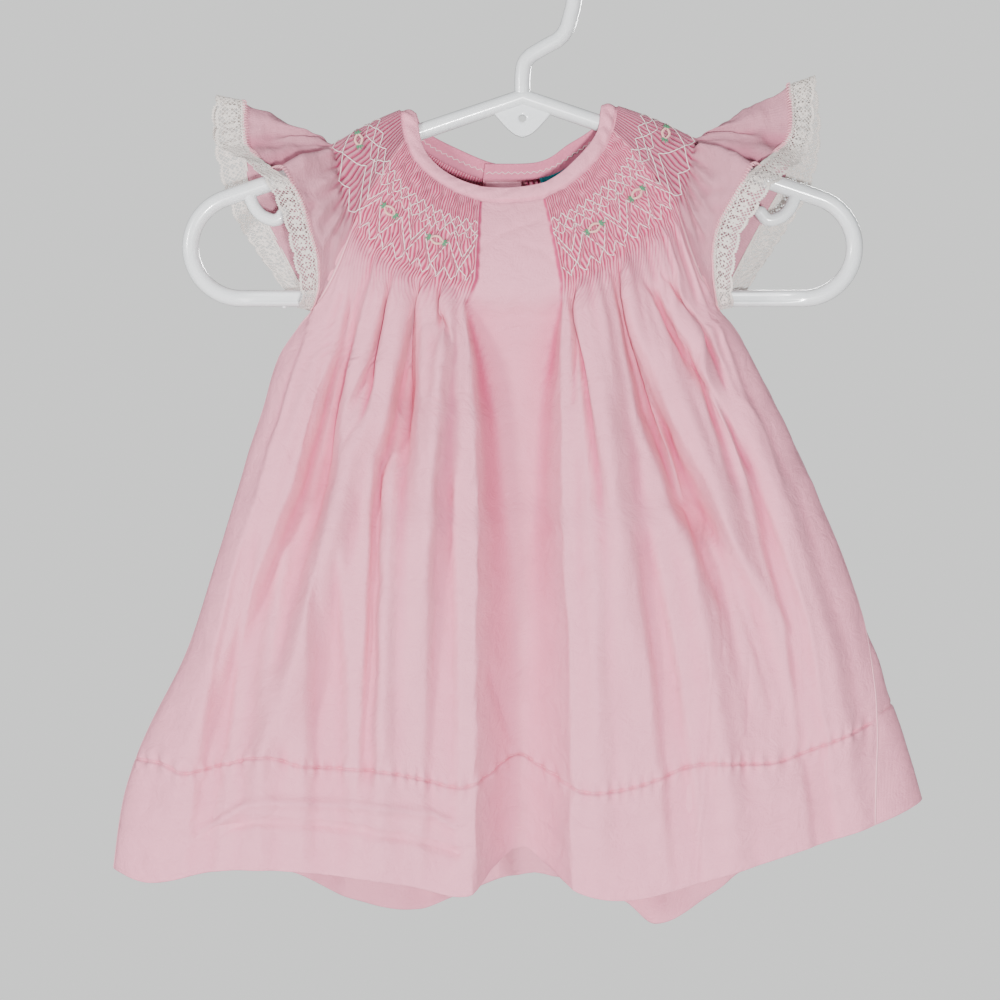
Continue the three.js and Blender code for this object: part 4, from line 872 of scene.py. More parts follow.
# The rows are shifted so that one of them runs along the hem's stitches.
fine_t = np.linspace(0, 1, 220)
fine_skirt = front_skirt(fine_t, front_u)
stitches = np.stack([point_at(HEM_T, fine_t, fine_skirt[:, k]) for k in range(len(front_u))])
down_rate = fine_skirt[-1, :, 2] - fine_skirt[0, :, 2]
off_stitch = (column(HEM_STITCH, stitches[:, 0], 1) - stitches[:, 2]) / down_rate
stitch_t = HEM_T + np.clip(off_stitch, -0.03, 0.045)
tent = np.interp(skirt_t, [0, 0.45, HEM_T, 1], [0, 0, 1, 0])
warped = skirt_t[:, None] + tent[:, None] * (stitch_t - HEM_T)
skirt = np.stack([point_at(warped[:, k], fine_t, fine_skirt[:, k]) for k in range(len(front_u))], 1)
neck_share = gathered(front_u)
band_points = smocked_band(front_yoke(neck_share, "seam"), front_yoke(neck_share, "edge"), band_w)
front_points = join_band(band_points, skirt)
band_height, skirt_place = by_row(band_w, 1 + 0 * skirt_t), by_row(0 * band_w, skirt_t)
normal = unit(spread(outward(front_points), 15))
tangent = unit(np.gradient(front_points, axis=1))
x, z = front_points[..., 0], front_points[..., 2]
# The pleats sway from stitch to stitch, and stand less and less below the smocking.
side_of = np.where(front_u < 0.5, -1.0, 1.0)
sway = pleat_sway(pleat_count[None, :], band_height, side_of[None, :]) + 0.35 * rumple(x, z, 12, 5)
sway *= smocked * np.exp(-skirt_place / FRONT_REACH["sway"]) * ease(pleat_count / 3)[None, :]
front_points += tangent * sway[..., None]
crest = pleat_crest(np.mod(pleat_count, 1))[None, :] * smocked
uneven = 1 + 0.3 * rumple(x, z, 11, 4)
rise = crest * uneven * mix(*FRONT_CREST, band_height) * np.exp(-skirt_place / FRONT_REACH["crest"])
pleat_left, pleat_right = column(CENTRE_PLEAT, z, 1), column(CENTRE_PLEAT, z, 2)
off_pleat = ease((np.maximum(pleat_left - x, x - pleat_right) - 1.5) / 6)
soft = soft_gathers(x, z, skirt_place, 7, FRONT_GATHERS, 0.022)
soft = soft * off_pleat * (1 + 0.7 * np.exp(-skirt_place / 0.15))
ironed = creases(FRONT_CREASES, x, z, ease((skirt_place - 0.02) / 0.05))
crumpled = (0.4 * rumple(x, z, 3, 28) + 0.12 * rumple(x, z, 4, 9)) * ease(skirt_place / 0.2)
# The cloth puckers along the hem's stitches, and stands out a little below them.
hem_away = (by_row(band_w * 0 - 1, skirt_t) - HEM_T) * SKIRT_LENGTH
pucker = 0.75 * np.sin(x / 0.85 + 2 * np.sin(x / 7)) * np.exp(-((hem_away / 3.5) ** 2))
pucker = pucker + 0.4 * np.sin(x / 3.1) * np.exp(-((hem_away / 9) ** 2))
sunk = np.exp(-((hem_away / 0.6) ** 2))
front_lift = rise + soft + ironed + crumpled - sunk + pucker + 0.3 * ease((hem_away - 0.5) / 1.2)
front_points += normal * (front_lift * ease(np.minimum(front_u, 1 - front_u) / 0.012))[..., None]
# Painted shade: deep colour between the pleats, in the hem's stitches, in hollows and on the centre pleat's
# walls.
between = (1 - np.abs(np.sin(math.pi * pleat_count))[None, :]) * smocked
front_painted_shade = FRONT_SHADE * between * np.exp(-skirt_place / FRONT_REACH["shade"]) * uneven + 0.25 * sunk
climb = pleat_climb(x, z)
painted_cavity_shade = 0.4 * cavity(front_points, normal) + 0.5 * cavity(front_points, normal, 11)
painted_cavity_shade = painted_cavity_shade * ease(skirt_place / 0.02) * mix(1, 0.4, ease((skirt_place - 0.3) / 0.35))
front_painted_shade += painted_cavity_shade * (1 - 0.6 * climb**2)
pleat_wall_shade = np.sin(math.pi * climb) ** 0.7 * column(CENTRE_PLEAT, z, 3) / 20
front_painted_shade += (0.24 - 0.08 * skirt_place) * pleat_wall_shade * ease((skirt_place - 0.02) / 0.1)
front_painted_shade = np.pad(front_painted_shade, ((0, len(HEM_TURN)), (0, 0)))
front_points = turned_up(front_points, normal)
front_mesh = cloth_mesh("front_cloth", front_points, laid_flat(front_points, 90, 200), painted_shade_amount=front_painted_shade)
front = finished("front_cloth", front_mesh, pink_batiste)
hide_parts("front_panel")

# The two backs: gathered and smocked as the front is, hemmed, and seamed to it at the sides. The left one laps
# over the right one down to the end of the opening; below it they are seamed.
BACK_HEM = [
    (-178.5, -397),
    (-150, -402),
    (-107, -403.5),
    (-75, -416),
    (-46, -421.5),
    (-30, -415),
    (-7, -406),
    (8, -403),
    (46, -418),
    (60, -428),
    (86, -412),
    (97, -404),
    (152, -380),
    (174, -367.5),
]
BACK_FOLDS = [
    ((-76, -100, -128), (-165, -240, -370), (4, 8, 3), (6, 18)),
    ((-60, -76, -98), (-170, -260, -390), (-2, -4, -4), (7, 18)),
    ((-40, -52, -68), (-150, -230, -380), (4, 7, 5), (5, 15)),
    ((-26, -32, -42), (-160, -260, -405), (-1, -4, -5), (6, 15)),
    ((-6, -5, 6), (-215, -300, -400), (2, 6, 7), (7, 15)),
    ((20, 34, 52), (-165, -265, -410), (-1, -4, -6), (6, 16)),
    ((36, 52, 78), (-150, -235, -385), (4, 8, 4), (5, 16)),
    ((56, 76, 104), (-170, -260, -385), (-2, -4, -4), (7, 18)),
    ((74, 98, 128), (-165, -240, -350), (4, 8, 3), (6, 18)),
]
# Creases of the backs: half width, depth, then points in x and z.
BACK_CREASES = {
    "left": [
        (1.3, 0.9, [(-70, -150), (-74, -172), (-80, -205)]),
        (1.2, 0.9, [(-46, -152), (-49, -180), (-54, -226)]),
        (1.2, 0.8, [(-24, -152), (-25, -176), (-29, -214)]),
        (1.8, 0.5, [(-120, -385), (-95, -379), (-60, -388), (-25, -394)]),
    ],
    "right": [
        (1.3, 0.9, [(26, -150), (28, -178), (33, -222)]),
        (1.2, 0.9, [(48, -152), (54, -184), (62, -226)]),
        (1.2, 0.8, [(68, -150), (74, -172), (84, -206)]),
        (1.8, 0.5, [(20, -392), (60, -386), (100, -372), (130, -362)]),
    ],
}
BACK_PLEATS = 38
SLEEVE_PLEATS = 26
# The pleats of the backs and sleeves: their height at the neck and at the band's lower edge, and their shade.
CREST = (0.75, 1.6)
SHADE = 1.25
BACK_REACH = {"sway": 0.035, "crest": 0.026, "shade": 0.03}
# Soft gathers of the backs: the seed of their draws, and ranges of the skirt's width.
BACK_GATHERS = {"left": (11, ((0.03, 0.45),)), "right": (12, ((0.54, 0.97),))}
# How deep the back is under the arm and at the hem, and how strong its folds are.
BACK_DEPTH = (15, 27)
BACK_FOLD_SCALE = 1.4
# The share of a back that is pleated, where the opening is, and the shares of the height at which it ends, is
# closed and lies flat, with the step down from the upper back to the lower one.
LAP_START = 0.86
CENTRE_BACK = -10
PLACKET = {"end": 0.25, "closed": 0.3, "flat": 0.36, "step": 2.6}


def side_band(side, place, w):
    return smocked_band(yoke(side, place, "seam"), yoke(side, place, "edge"), w)


def back_sections(side, t, samples=300):
    across = np.linspace(0, 1, samples)
    top = yoke(side, mix(RAGLAN["back"], 100, across), "edge")
    start = side_points(side, top[0], t)
    settle = np.minimum(1, t / UNDERARM["t"])
    shift_y, shift_z = side_shift(start, top[0], t, settle)
    lapped = mix(top[-1, 0], CENTRE_BACK, ease((t - PLACKET["end"]) / (PLACKET["closed"] - PLACKET["end"])))
    under = (1 - ease((t - PLACKET["closed"]) / (PLACKET["flat"] - PLACKET["closed"]))) * (side == "right")
    line, deep = plan(across / 2)
    place = mix((top[:, 0] - top[0, 0]) / (top[-1, 0] - top[0, 0]), line * 2, settle[:, None])
    x = mix(start[:, :1], lapped[:, None], place)
    hem_side = BACK_HEM[0][0] if side == "left" else BACK_HEM[-1][0]
    hem = column(BACK_HEM, mix(hem_side, CENTRE_BACK, line * 2), 1)
    near = (1 - deep) ** 2
    down = t[:, None]
    z = mix(top[:, 2], hem, down) + shift_z[:, None] * near
    hung = mix(*BACK_DEPTH, ease(down)) * deep - PLACKET["step"] * under[:, None] * ease(place)
    y = mix(top[:, 1], hung, settle[:, None]) + shift_y[:, None] * near
    y = y - BACK_FOLD_SCALE * fold_depth(BACK_FOLDS, x, z) * deep * ease((down - 0.02) / 0.12)
    # The part of the front's cloth that the back shows past the side seam.
    front_rows = front_sections(t)
    if side == "right":
        front_rows = front_rows[:, ::-1]
    measured = lengths(front_rows)
    shown = wrap(t, side)
    turned = [point_at(shown[i] * (1 - np.arange(8) / 8), measured[i], front_rows[i]) for i in range(len(t))]
    return np.concatenate([np.array(turned), np.stack([x, y, z], -1)], 1)


def back_cloth(side):
    flip = FLIP[side]
    back_passed = pleat_places(BACK_PLEATS)
    u = np.concatenate([back_passed * LAP_START / BACK_PLEATS, np.linspace(LAP_START, 1, 10)])
    counted = np.concatenate([back_passed, np.full(10, BACK_PLEATS)])
    pleated = u < LAP_START
    shares = np.repeat(u[None, :], len(skirt_t), 0)
    hung = cut_rows(back_sections(side, skirt_t), shares, 0 * skirt_t, 0 * skirt_t)
    points = join_band(side_band(side, mix(RAGLAN["back"], 100, u), band_w), hung)
    height, below = by_row(band_w, 1 + 0 * skirt_t), by_row(0 * band_w, skirt_t)
    out = unit(spread(outward(points, flip), 15))
    sideways = unit(np.gradient(points, axis=1))
    x, z = points[..., 0], points[..., 2]
    count = counted + FRONT_PLEATS + SLEEVE_PLEATS
    sway = pleat_sway(count[None, :], height, 1) * pleated * np.exp(-below / BACK_REACH["sway"])
    points += sideways * sway[..., None]
    crest = pleat_crest(np.mod(counted, 1))[None, :] * pleated
    lift = crest * mix(*CREST, height) * np.exp(-below / BACK_REACH["crest"])
    lift = lift + soft_gathers(x, z, below, *BACK_GATHERS[side], 0.05)
    lift = lift + creases(BACK_CREASES[side], x, z, ease((below - 0.02) / 0.05))
    lift = lift + 0.55 * rumple(x, z, 5, 24) * ease(below / 0.2)
    stitched = (by_row(band_w * 0 - 1, skirt_t) - HEM_T) * SKIRT_LENGTH
    pucker = 0.3 * np.sin(x / 3.1 + 1.3 * np.sin(x / 9)) * np.exp(-((stitched / 6) ** 2))
    lift = lift - 0.75 * np.exp(-((stitched / 0.9) ** 2)) + pucker
    points += out * ((lift - 0.1) * ease(u / 0.02))[..., None]
    # Painted shade: deep colour between the pleats and in the cloth's hollows.
    between = (1 - np.abs(np.sin(math.pi * counted))[None, :]) * pleated
    painted_shade_amount = SHADE * between * np.exp(-below / BACK_REACH["shade"])
    painted_shade_amount = painted_shade_amount + 0.26 * cavity(points, out) * ease(below / 0.02)
    painted_shade_amount = np.pad(painted_shade_amount, ((0, len(HEM_TURN)), (0, 0)))
    points = turned_up(points, out)
    name = f"back_cloth_{side}"
    mesh = cloth_mesh(name, points, laid_flat(points, 90, len(u) // 2), flip, painted_shade_amount=painted_shade_amount)
    cloth = finished(name, mesh, pink_batiste)
    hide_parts(f"back_panel_{side}")
    return points, out


backs = {side: back_cloth(side) for side in ("left", "right")}

# The raglan flutter sleeves: short flared pieces gathered into the smocked yoke over the shoulders, with a
# narrow rolled hem that the lace is whipped to.
# Millimetres along a sleeve's edge: place, the cloth's edge, the scalloped edge of the lace.
SLEEVE_EDGE = {
    "left": [
        (0, -90.5, -5.8, -156, -96.5, -8.5, -154),
        (0.07, -88, -12.5, -145.5, -94.5, -15, -150),
        (0.14, -88.5, -14.5, -134, -97.5, -16, -135.5),
        (0.22, -91.5, -17.5, -122, -100.5, -19, -122),
        (0.3, -95, -20, -110.3, -104.6, -22, -110.7),
        (0.38, -100.5, -22, -101.7, -110, -24, -101.5),
        (0.44, -108, -18, -95.7, -116.4, -19, -94),
        (0.48, -115, -10, -91, -124, -10, -91),
        (0.53, -119.6, -4, -85.6, -130, -4, -87.3),
        (0.6, -121, -1, -75.3, -132.8, -1, -77.4),
        (0.66, -121.7, 1, -65.8, -132.6, 1, -64.5),
        (0.72, -123.7, 7, -68.3, -135.2, 8, -68.1),
        (0.8, -123, 12, -84.2, -134.5, 14, -86),
        (0.88, -119, 14, -103.7, -128.5, 16, -109),
        (0.94, -109, 12, -123, -116.5, 14, -129),
        (1, -91.5, 5.8, -156, -98.5, 8.5, -154),
    ],
    "right": [
        (0, 84.4, -5.8, -156, 91, -8.5, -154),
        (0.07, 82.6, -12.5, -143.5, 89.5, -15, -148.5),
        (0.14, 82, -15, -131.5, 90.5, -17, -135),
        (0.22, 83.5, -17, -121.5, 93, -19, -124),
        (0.3, 88.7, -20, -111.6, 98.2, -22, -115.8),
        (0.38, 95.8, -22, -100.4, 105, -24, -104.9),
        (0.44, 102.1, -18, -94, 111.3, -19, -98.4),
        (0.48, 108.7, -10, -89.7, 118.2, -10, -94),
        (0.53, 113, -4, -85.6, 122.5, -4, -88.6),
        (0.6, 117.1, -1, -74, 126, -1, -74.5),
        (0.66, 116.5, 1, -58.8, 126.5, 1, -55.4),
        (0.72, 119, 7, -63, 129.2, 8, -62.9),
        (0.8, 120.5, 12, -79.8, 130.5, 14, -83.9),
        (0.88, 115.9, 14, -98, 125, 16, -103.9),
        (0.94, 102.5, 13, -122, 110.5, 15, -127.5),
        (1, 86.5, 5.8, -155.5, 93.5, 8.5, -153.5),
    ],
}
# Soft folds of a sleeve: place across it, half width, height and how far it runs.
SLEEVE_FOLDS = [
    (0.08, 0.022, 1.1, 0.7),
    (0.15, 0.02, 1.3, 0.9),
    (0.23, 0.025, 1.2, 1.2),
    (0.31, 0.02, 1.5, 0.8),
    (0.4, 0.03, 2.8, 1.6),
    (0.452, 0.02, -2.6, 1.6),
    (0.54, 0.025, 1.3, 0.9),
    (0.62, 0.02, 1.5, 1.1),
    (0.69, 0.028, 1.2, 0.8),
    (0.77, 0.022, 1.4, 1.2),
    (0.85, 0.024, 1.2, 0.9),
    (0.93, 0.02, 1.1, 0.7),
]


def flutter(u, t):
    return 1.3 * t * np.sin(math.pi * u) * np.cos(2 * math.pi * 6 * u)


def stand_off(points, u, up, out):
    """Lifts a sleeve or its lace over the shoulder, and moves it out in front and behind."""
    points[..., 2] += up * np.sin(math.pi * np.clip((u - 0.3) / 0.6, 0, 1))
    points[..., 1] += np.sign(u - 0.5) * out * np.minimum(1, np.abs(u - 0.5) * 4)


def sleeve_skirt(side, t, u):
    top = yoke(side, mix(RAGLAN["front"], RAGLAN["back"], u), "edge")
    hem = along(SLEEVE_EDGE[side], u, slice(1, 4))
    down = t[:, None]
    points = mix(top, hem, down[..., None])
    swell = 4 * 4 * down * (1 - down) * np.sin(math.pi * u)
    wave = flutter(u, down)
    stand_off(points, u, swell * 0.6 + wave, swell * 0.5 + wave)
    for face, near in (("front", 1 - u / 0.1), ("back", 1 - (1 - u) / 0.1)):
        seam_top = yoke(side, np.array(float(RAGLAN[face])), "edge")
        seam = raglan_points(side, seam_top, t * 0.8)
        points = mix(points, seam[:, None, :], ease(near)[None, :, None])
    return points


SLEEVE_REACH = {"sway": 0.15, "crest": 0.13, "shade": 0.12}
# Painted shade: the sleeves take a darker copy of the batiste, as less light falls on them up at the shoulders.
painted_shade_sleeve_batiste = cotton("painted_shade_sleeve_batiste", (0.6, 0.27, 0.34), (0.42, 0.05, 0.13))
sleeve_passed = np.append(pleat_places(SLEEVE_PLEATS), SLEEVE_PLEATS)
sleeve_u = sleeve_passed / SLEEVE_PLEATS
sleeve_t = np.linspace(0.02, 1, 56)
sleeves = {}
for side in ("left", "right"):
    flip = FLIP[side]
    place = mix(RAGLAN["front"], RAGLAN["back"], sleeve_u)
    points = join_band(side_band(side, place, band_w), sleeve_skirt(side, sleeve_t, sleeve_u))
    height, below = by_row(band_w, 1 + 0 * sleeve_t), by_row(0 * band_w, sleeve_t)
    out = outward(points, flip)
    sideways = unit(np.gradient(points, axis=1))
    x, z = points[..., 0], points[..., 2]
    edge_hold = ease(np.minimum(sleeve_u, 1 - sleeve_u) / 0.04)
    sway = pleat_sway(sleeve_passed[None, :] + FRONT_PLEATS, height, 1)
    points += sideways * (sway * np.exp(-below / SLEEVE_REACH["sway"]) * edge_hold)[..., None]
    crest = pleat_crest(np.mod(sleeve_passed, 1))[None, :] * mix(*CREST, height)
    lift = crest * np.exp(-below / SLEEVE_REACH["crest"])
    for centre, half, size, reach in SLEEVE_FOLDS:
        fold_shape = np.exp(-(((sleeve_u - centre) / half) ** 2))
        fade = ease(below / 0.2) * (1 - ease((below - reach * 0.4) / (reach * 0.6)))
        lift = lift + 2.2 * size * fold_shape * fade
    lift = lift * np.where(below > 0, mix(1, edge_hold, ease(below / 0.2)), 1)
    crumpled = 0.5 * rumple(x, z, 8, 16) + 0.3 * rumple(x, z, 9, 6)
    lift = lift + crumpled * ease(below / 0.4) * edge_hold
    rolled = by_row(band_w * 0 - 1, sleeve_t)
    lift = lift + 0.45 * np.exp(-(((rolled - 0.985) / 0.016) ** 2))
    points += out * lift[..., None]
    # Painted shade: deep colour between the pleats and in the cloth's hollows.
    between = 1 - np.abs(np.sin(math.pi * sleeve_passed))[None, :]
    painted_shade_amount = SHADE * between * np.exp(-below / SLEEVE_REACH["shade"])
    painted_shade_amount = painted_shade_amount + 0.35 * cavity(points, out) * ease(below / 0.1)
    name = f"sleeve_cloth_{side}"
    mesh = cloth_mesh(name, points, laid_flat(points, 70, len(sleeve_u) // 2), flip, painted_shade_amount=painted_shade_amount)
    sleeve = finished(name, mesh, painted_shade_sleeve_batiste)
    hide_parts(f"sleeve_{side}")
    sleeves[side] = (points, out)

# The edging lace: a strip of cream cotton lace a centimetre wide, with a net ground, flowers and a scalloped
# edge with picots. It is whipped to the sleeves' rolled hem with pink thread.
lace_cotton, tree, shader = new_material("cream_lace_cotton", {"Roughness": 0.9, "Sheen Weight": 0.2})
place = add(tree, "TexCoord", "Object", {})
twist = add(tree, "TexNoise", "Fac", {"Vector": place, "Scale": 2600, "Detail": 4})
lace_look = {
    "Base Color": two_tones(tree, twist, (0.62, 0.55, 0.5), (0.86, 0.81, 0.77), 0.3, 0.75),
    "Normal": add(tree, "Bump", "Normal", {"Height": twist, "Distance": 0.0002}),
}
fill(tree, shader, lace_look)
# Millimetres: the squares that the strip is cut from, the length of a scallop, and the rows across the strip.
LACE_CELL = 0.3
SCALLOP = 8.6
LACE_ROWS = np.linspace(-0.6, 10.5, 37)
LACE_WIDTH = 9.6


def lace_threads(a, b):
    """Where the lace has thread, at places along it and across it."""
    local = np.mod(a, SCALLOP) - SCALLOP / 2
    edge = 8.7 + 1.5 * np.sqrt(np.clip(1 - (local / (SCALLOP / 2)) ** 2, 0, 1))
    teeth = 0.35 * (np.mod(a, 1.2) < 0.6)
    net_a = np.abs(np.mod((a + b) / 1.7, 1) - 0.5) > 0.35
    net_b = np.abs(np.mod((a - b) / 1.7, 1) - 0.5) > 0.35
    reach = np.hypot(local, b - 5.2)
    angle = np.arctan2(b - 5.2, local)
    flower = (reach < 2.3 * (0.45 + 0.55 * np.abs(np.cos(2.5 * angle)))) & (reach > 0.45)
    other = np.mod(a + SCALLOP / 2, SCALLOP) - SCALLOP / 2
    leaf = (np.abs(other) < 0.8) & (np.abs(b - 4.2 - 0.5 * np.abs(other)) < 1.9)
    heading = (b < 0.95) & ~((b > 0.3) & (b < 0.7) & (np.mod(a, 0.9) < 0.45))
    vine = np.abs(b - 2.2 - 0.5 * np.sin(2 * math.pi * a / SCALLOP)) < 0.28
    scallops = (b > edge - 1) & (b < edge + teeth)
    inner = b < edge - 0.3
    return heading | scallops | ((net_a | net_b | flower | leaf | vine) & inner)


for side in ("left", "right"):
    flip = FLIP[side]
    fine_u = np.linspace(0, 1, 1500)
    low = sleeve_skirt(side, np.array([1.0]), fine_u)[0]
    high = along(SLEEVE_EDGE[side], fine_u, slice(4, 7))
    wave = flutter(fine_u, 1) * 1.5
    stand_off(high, fine_u, wave, wave)
    run = lengths(mix(low, high, 0.5))
    columns = int(run[-1] / LACE_CELL)
    a, b = np.linspace(0, run[-1], columns + 1), LACE_ROWS[:, None]
    at = np.interp(a, run, fine_u)
    start, finish = point_at(at, fine_u, low), point_at(at, fine_u, high)
    strip = mix(start[None], finish[None], (b / LACE_WIDTH)[..., None])
    curl = 0.5 * np.sin(a / 2.9 + 1.2 * np.sin(a / 11)) * (b / 10) + 0.12 * np.sin(a / 0.9) * np.sin(b * 2.1)
    strip += outward(strip, flip) * (curl + 0.35)[..., None]
    keep = lace_threads((a[:-1] + LACE_CELL / 2)[None, :], (b[:-1] + b[1:]) / 2)
    uv = np.stack(np.broadcast_arrays(a[None, :], b), -1)
    name = f"lace_edging_{side}"
    lace = finished(name, cloth_mesh(name, strip, uv, flip, keep), lace_cotton)
    body = lace.modifiers.new("thread_thickness", "SOLIDIFY")
    body.thickness = 0.00025
    body.offset = 0
    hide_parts(f"lace_{side}")

# The neck binding: a bias strip of the same batiste folded over the gathered edge, rounded at the fold,
# stitched down outside along the seam and inside with a narrow white zigzag.
BINDING = {"thick": 1.8, "swell": 0.7, "columns": 420, "plain_front": 0.07, "dip": 1.2}


def binding_lines(u):
    """The seam and the lip of the binding, once round from the right of the opening to its left."""
    turn = u * 2
    right = turn < 1
    place = np.where(right, 1 - turn, turn - 1)
    flat_front = BINDING["plain_front"]
    share = np.clip((place - flat_front) / (1 - flat_front), 0, 1) * 100
    lines = []
    for name in ("seam", "lip"):
        line = np.where(right[:, None], yoke("right", share, name), yoke("left", share, name))
        across = np.where(right, -1, 1) * place / flat_front
        centre = mix(yoke("right", 0 * u, name), yoke("left", 0 * u, name), ((across + 1) / 2)[:, None])
        centre[:, 2] -= BINDING["dip"] * (1 - across**2)
        lines.append(np.where((place < flat_front)[:, None], centre, line))
    return lines


bind_u = np.linspace(0, 1, BINDING["columns"])
seam_line, lip_line = binding_lines(bind_u)
for line in (seam_line, lip_line):
    for _ in range(6):
        line[1:-1] = (line[:-2] + 2 * line[1:-1] + line[2:]) / 4
facing_y = np.sign(seam_line[:, 1]) * np.minimum(1, np.abs(seam_line[:, 1]) / 6)
bind_out = unit(np.stack([0 * bind_u, facing_y, 0.6 + 0 * bind_u], -1))
forward = unit(lip_line - seam_line)
bind_out = unit(bind_out - forward * np.sum(bind_out * forward, -1, keepdims=True))
half = BINDING["thick"] / 2
fold = lip_line - forward * half
around_neck = lengths(seam_line)
# The strip's rows go up the outside, with a stitched tuck and slant wrinkles, over the fold and down inside.
profile = []
for w in np.linspace(-0.04, 1, 12):
    tuck = -0.7 * np.exp(-(((w - 0.1) / 0.04) ** 2))
    slant = 0.45 * np.sin(around_neck / 1.5 + 4 * w + 2 * np.sin(around_neck / 7)) * 4 * w * (1 - w)
    slant = slant * (0.6 + 0.4 * np.sin(around_neck / 11))
    swell = BINDING["swell"] * 4 * max(w, 0) * (1 - w)
    profile.append(mix(seam_line, fold, w) + bind_out * (swell + tuck + slant + 0.25)[:, None])
for turn in np.linspace(0, math.pi, 9)[1:-1]:
    over = half * math.cos(turn) - half + 0.25 * (math.cos(turn) + 1) / 2
    profile.append(fold + bind_out * over + forward * half * math.sin(turn))
inside_rows = [(w, 2 * half) for w in np.linspace(1, -0.1, 7)]
for w, inward in [*inside_rows, (-0.14, 1.2), (-0.12, 0.2)]:
    profile.append(mix(seam_line, fold, w) - bind_out * inward)
bind_points = np.array(profile)
bind_down = lengths(bind_points[:, 100])[:, None]
bias = np.stack(np.broadcast_arrays(around_neck + bind_down, around_neck - bind_down), -1) / math.sqrt(2)
tucked = np.exp(-(((np.arange(len(bind_points)) - 1.5) / 0.9) ** 2))[:, None]
# Painted shade: deeper colour on the back half of the binding, in shade inside the neck, and in the stitched
# tuck.
binding_painted_shade = 0.5 * ease((bind_points[..., 1] - 1) / 6) + 0.3 * tucked
bind_mesh = cloth_mesh("neck_bias_binding", bind_points, bias, -1, painted_shade_amount=binding_painted_shade)
binding = finished("neck_bias_binding", bind_mesh, pink_batiste)
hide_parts("neck_binding")

# Inside the neck: the facing of the opening on the right back, and a bare woven label of blue-green satin tape
# folded under the binding.
def inner_strip(name, u_range, w_range, lift, material, node):
    """A strip inside the right back, over ranges across it and down it, and its size in metres."""
    u, w = np.linspace(*u_range, 24), np.linspace(*w_range, 40)
    below = w[w > 1] - 1
    rows = [side_band("right", mix(RAGLAN["back"], 100, u), w[w <= 1])]
    if len(below):
        shares = np.repeat(u[None, :], len(below), 0)
        rows.append(cut_rows(back_sections("right", below), shares, 0 * below, 0 * below))
    points = np.concatenate(rows)
    points -= outward(points) * lift
    across = lengths(points[5:6])[0]
    down = np.linspace(0, 1, len(w)) * np.linalg.norm(points[-1, 0] - points[0, 0])
    uv = np.stack(np.broadcast_arrays(across[None, :], down[:, None]), -1)
    strip = finished(name, cloth_mesh(name, points, uv), material)
    cloth_wall = strip.modifiers.new("cloth_wall", "SOLIDIFY")
    cloth_wall.thickness = 0.0005
    cloth_wall.offset = -1
    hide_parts(node)
    return strip, across[-1] / 1000, down[-1] / 1000


facing, wide, long = inner_strip(
    "opening_facing", (0.86, 0.99), (0.03, 1.22), 1.4, pink_batiste, "back_placket"
)
satin = cotton("blue_green_satin_tape", (0.0, 0.16, 0.2), (0.0, 0.08, 0.1), 1.6)
satin.node_tree.nodes["Principled BSDF"].inputs["Roughness"].default_value = 0.45
label, wide, long = inner_strip("label_tape", (0.32, 0.78), (0.0, 0.4), 1.9, satin, "neck_label")

# Three small round buttons of pearly plastic close the back. Each has a rim and a dished face, and the thread
# that sews it on fills its four holes.
BUTTONS = ("button_1", "button_2", "button_3")
# A button's section in millimetres, radius and height, and the places and size of the thread in its holes.
BUTTON_PROFILE = [
    (0, -0.9),
    (3.6, -0.9),
    (4.3, -0.5),
    (4.5, 0.1),
    (4.3, 0.75),
    (3.9, 0.95),
    (3.4, 0.85),
    (2.9, 0.45),
    (0, 0.35),
]
KNOT = {"out": 0.0009, "high": 0.00035, "radius": 0.00042}
BUTTON_FACES = Vector((0, 1, 0.12))
pearl, tree, shader = new_material("pearly_plastic", {"Roughness": 0.22, "Coat Weight": 0.3})
place = add(tree, "TexCoord", "Object", {})
clouds = add(tree, "TexNoise", "Fac", {"Vector": place, "Scale": 420, "Distortion": 1.5})
fill(tree, shader, {"Base Color": two_tones(tree, clouds, (0.78, 0.66, 0.68), (0.92, 0.88, 0.88))})
for node in BUTTONS:
    bm = bmesh.new()
    ring = [bm.verts.new((r * 0.001, 0, h * 0.001)) for r, h in BUTTON_PROFILE]
    section = [*ring, *[bm.edges.new(pair) for pair in zip(ring, ring[1:])]]
    centre, axis = (0, 0, 0), (0, 0, 1)
    bmesh.ops.spin(bm, geom=section, cent=centre, axis=axis, angle=2 * math.pi, steps=36, use_merge=True)
    bmesh.ops.remove_doubles(bm, verts=bm.verts, dist=0.00001)
    for turn in range(4):
        angle = math.pi / 4 + turn * math.pi / 2
        knot = bmesh.ops.create_uvsphere(bm, u_segments=10, v_segments=6, radius=KNOT["radius"])
        at_hole = (KNOT["out"] * math.cos(angle), KNOT["out"] * math.sin(angle), KNOT["high"])
        bmesh.ops.translate(bm, verts=knot["verts"], vec=at_hole)
    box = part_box(node)
    tilt = Vector(axis).rotation_difference(BUTTON_FACES).to_matrix()
    bmesh.ops.rotate(bm, verts=bm.verts, cent=centre, matrix=tilt)
    bmesh.ops.translate(bm, verts=bm.verts, vec=(Vector(box[0]) + Vector(box[1])) / 2)
    pearl_button = finished(f"pearl_{node}", smooth_mesh(f"pearl_{node}", bm), pearl)
    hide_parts(node)

# The smocking: cream cotton worked over the pleats by hand. Rows of small waves make diamonds under the neck,
# long trellis lines cross below, and a zigzag ends the band.
ALL_PLEATS = FRONT_PLEATS + SLEEVE_PLEATS + BACK_PLEATS
SMOCKING_THREAD = 0.00017
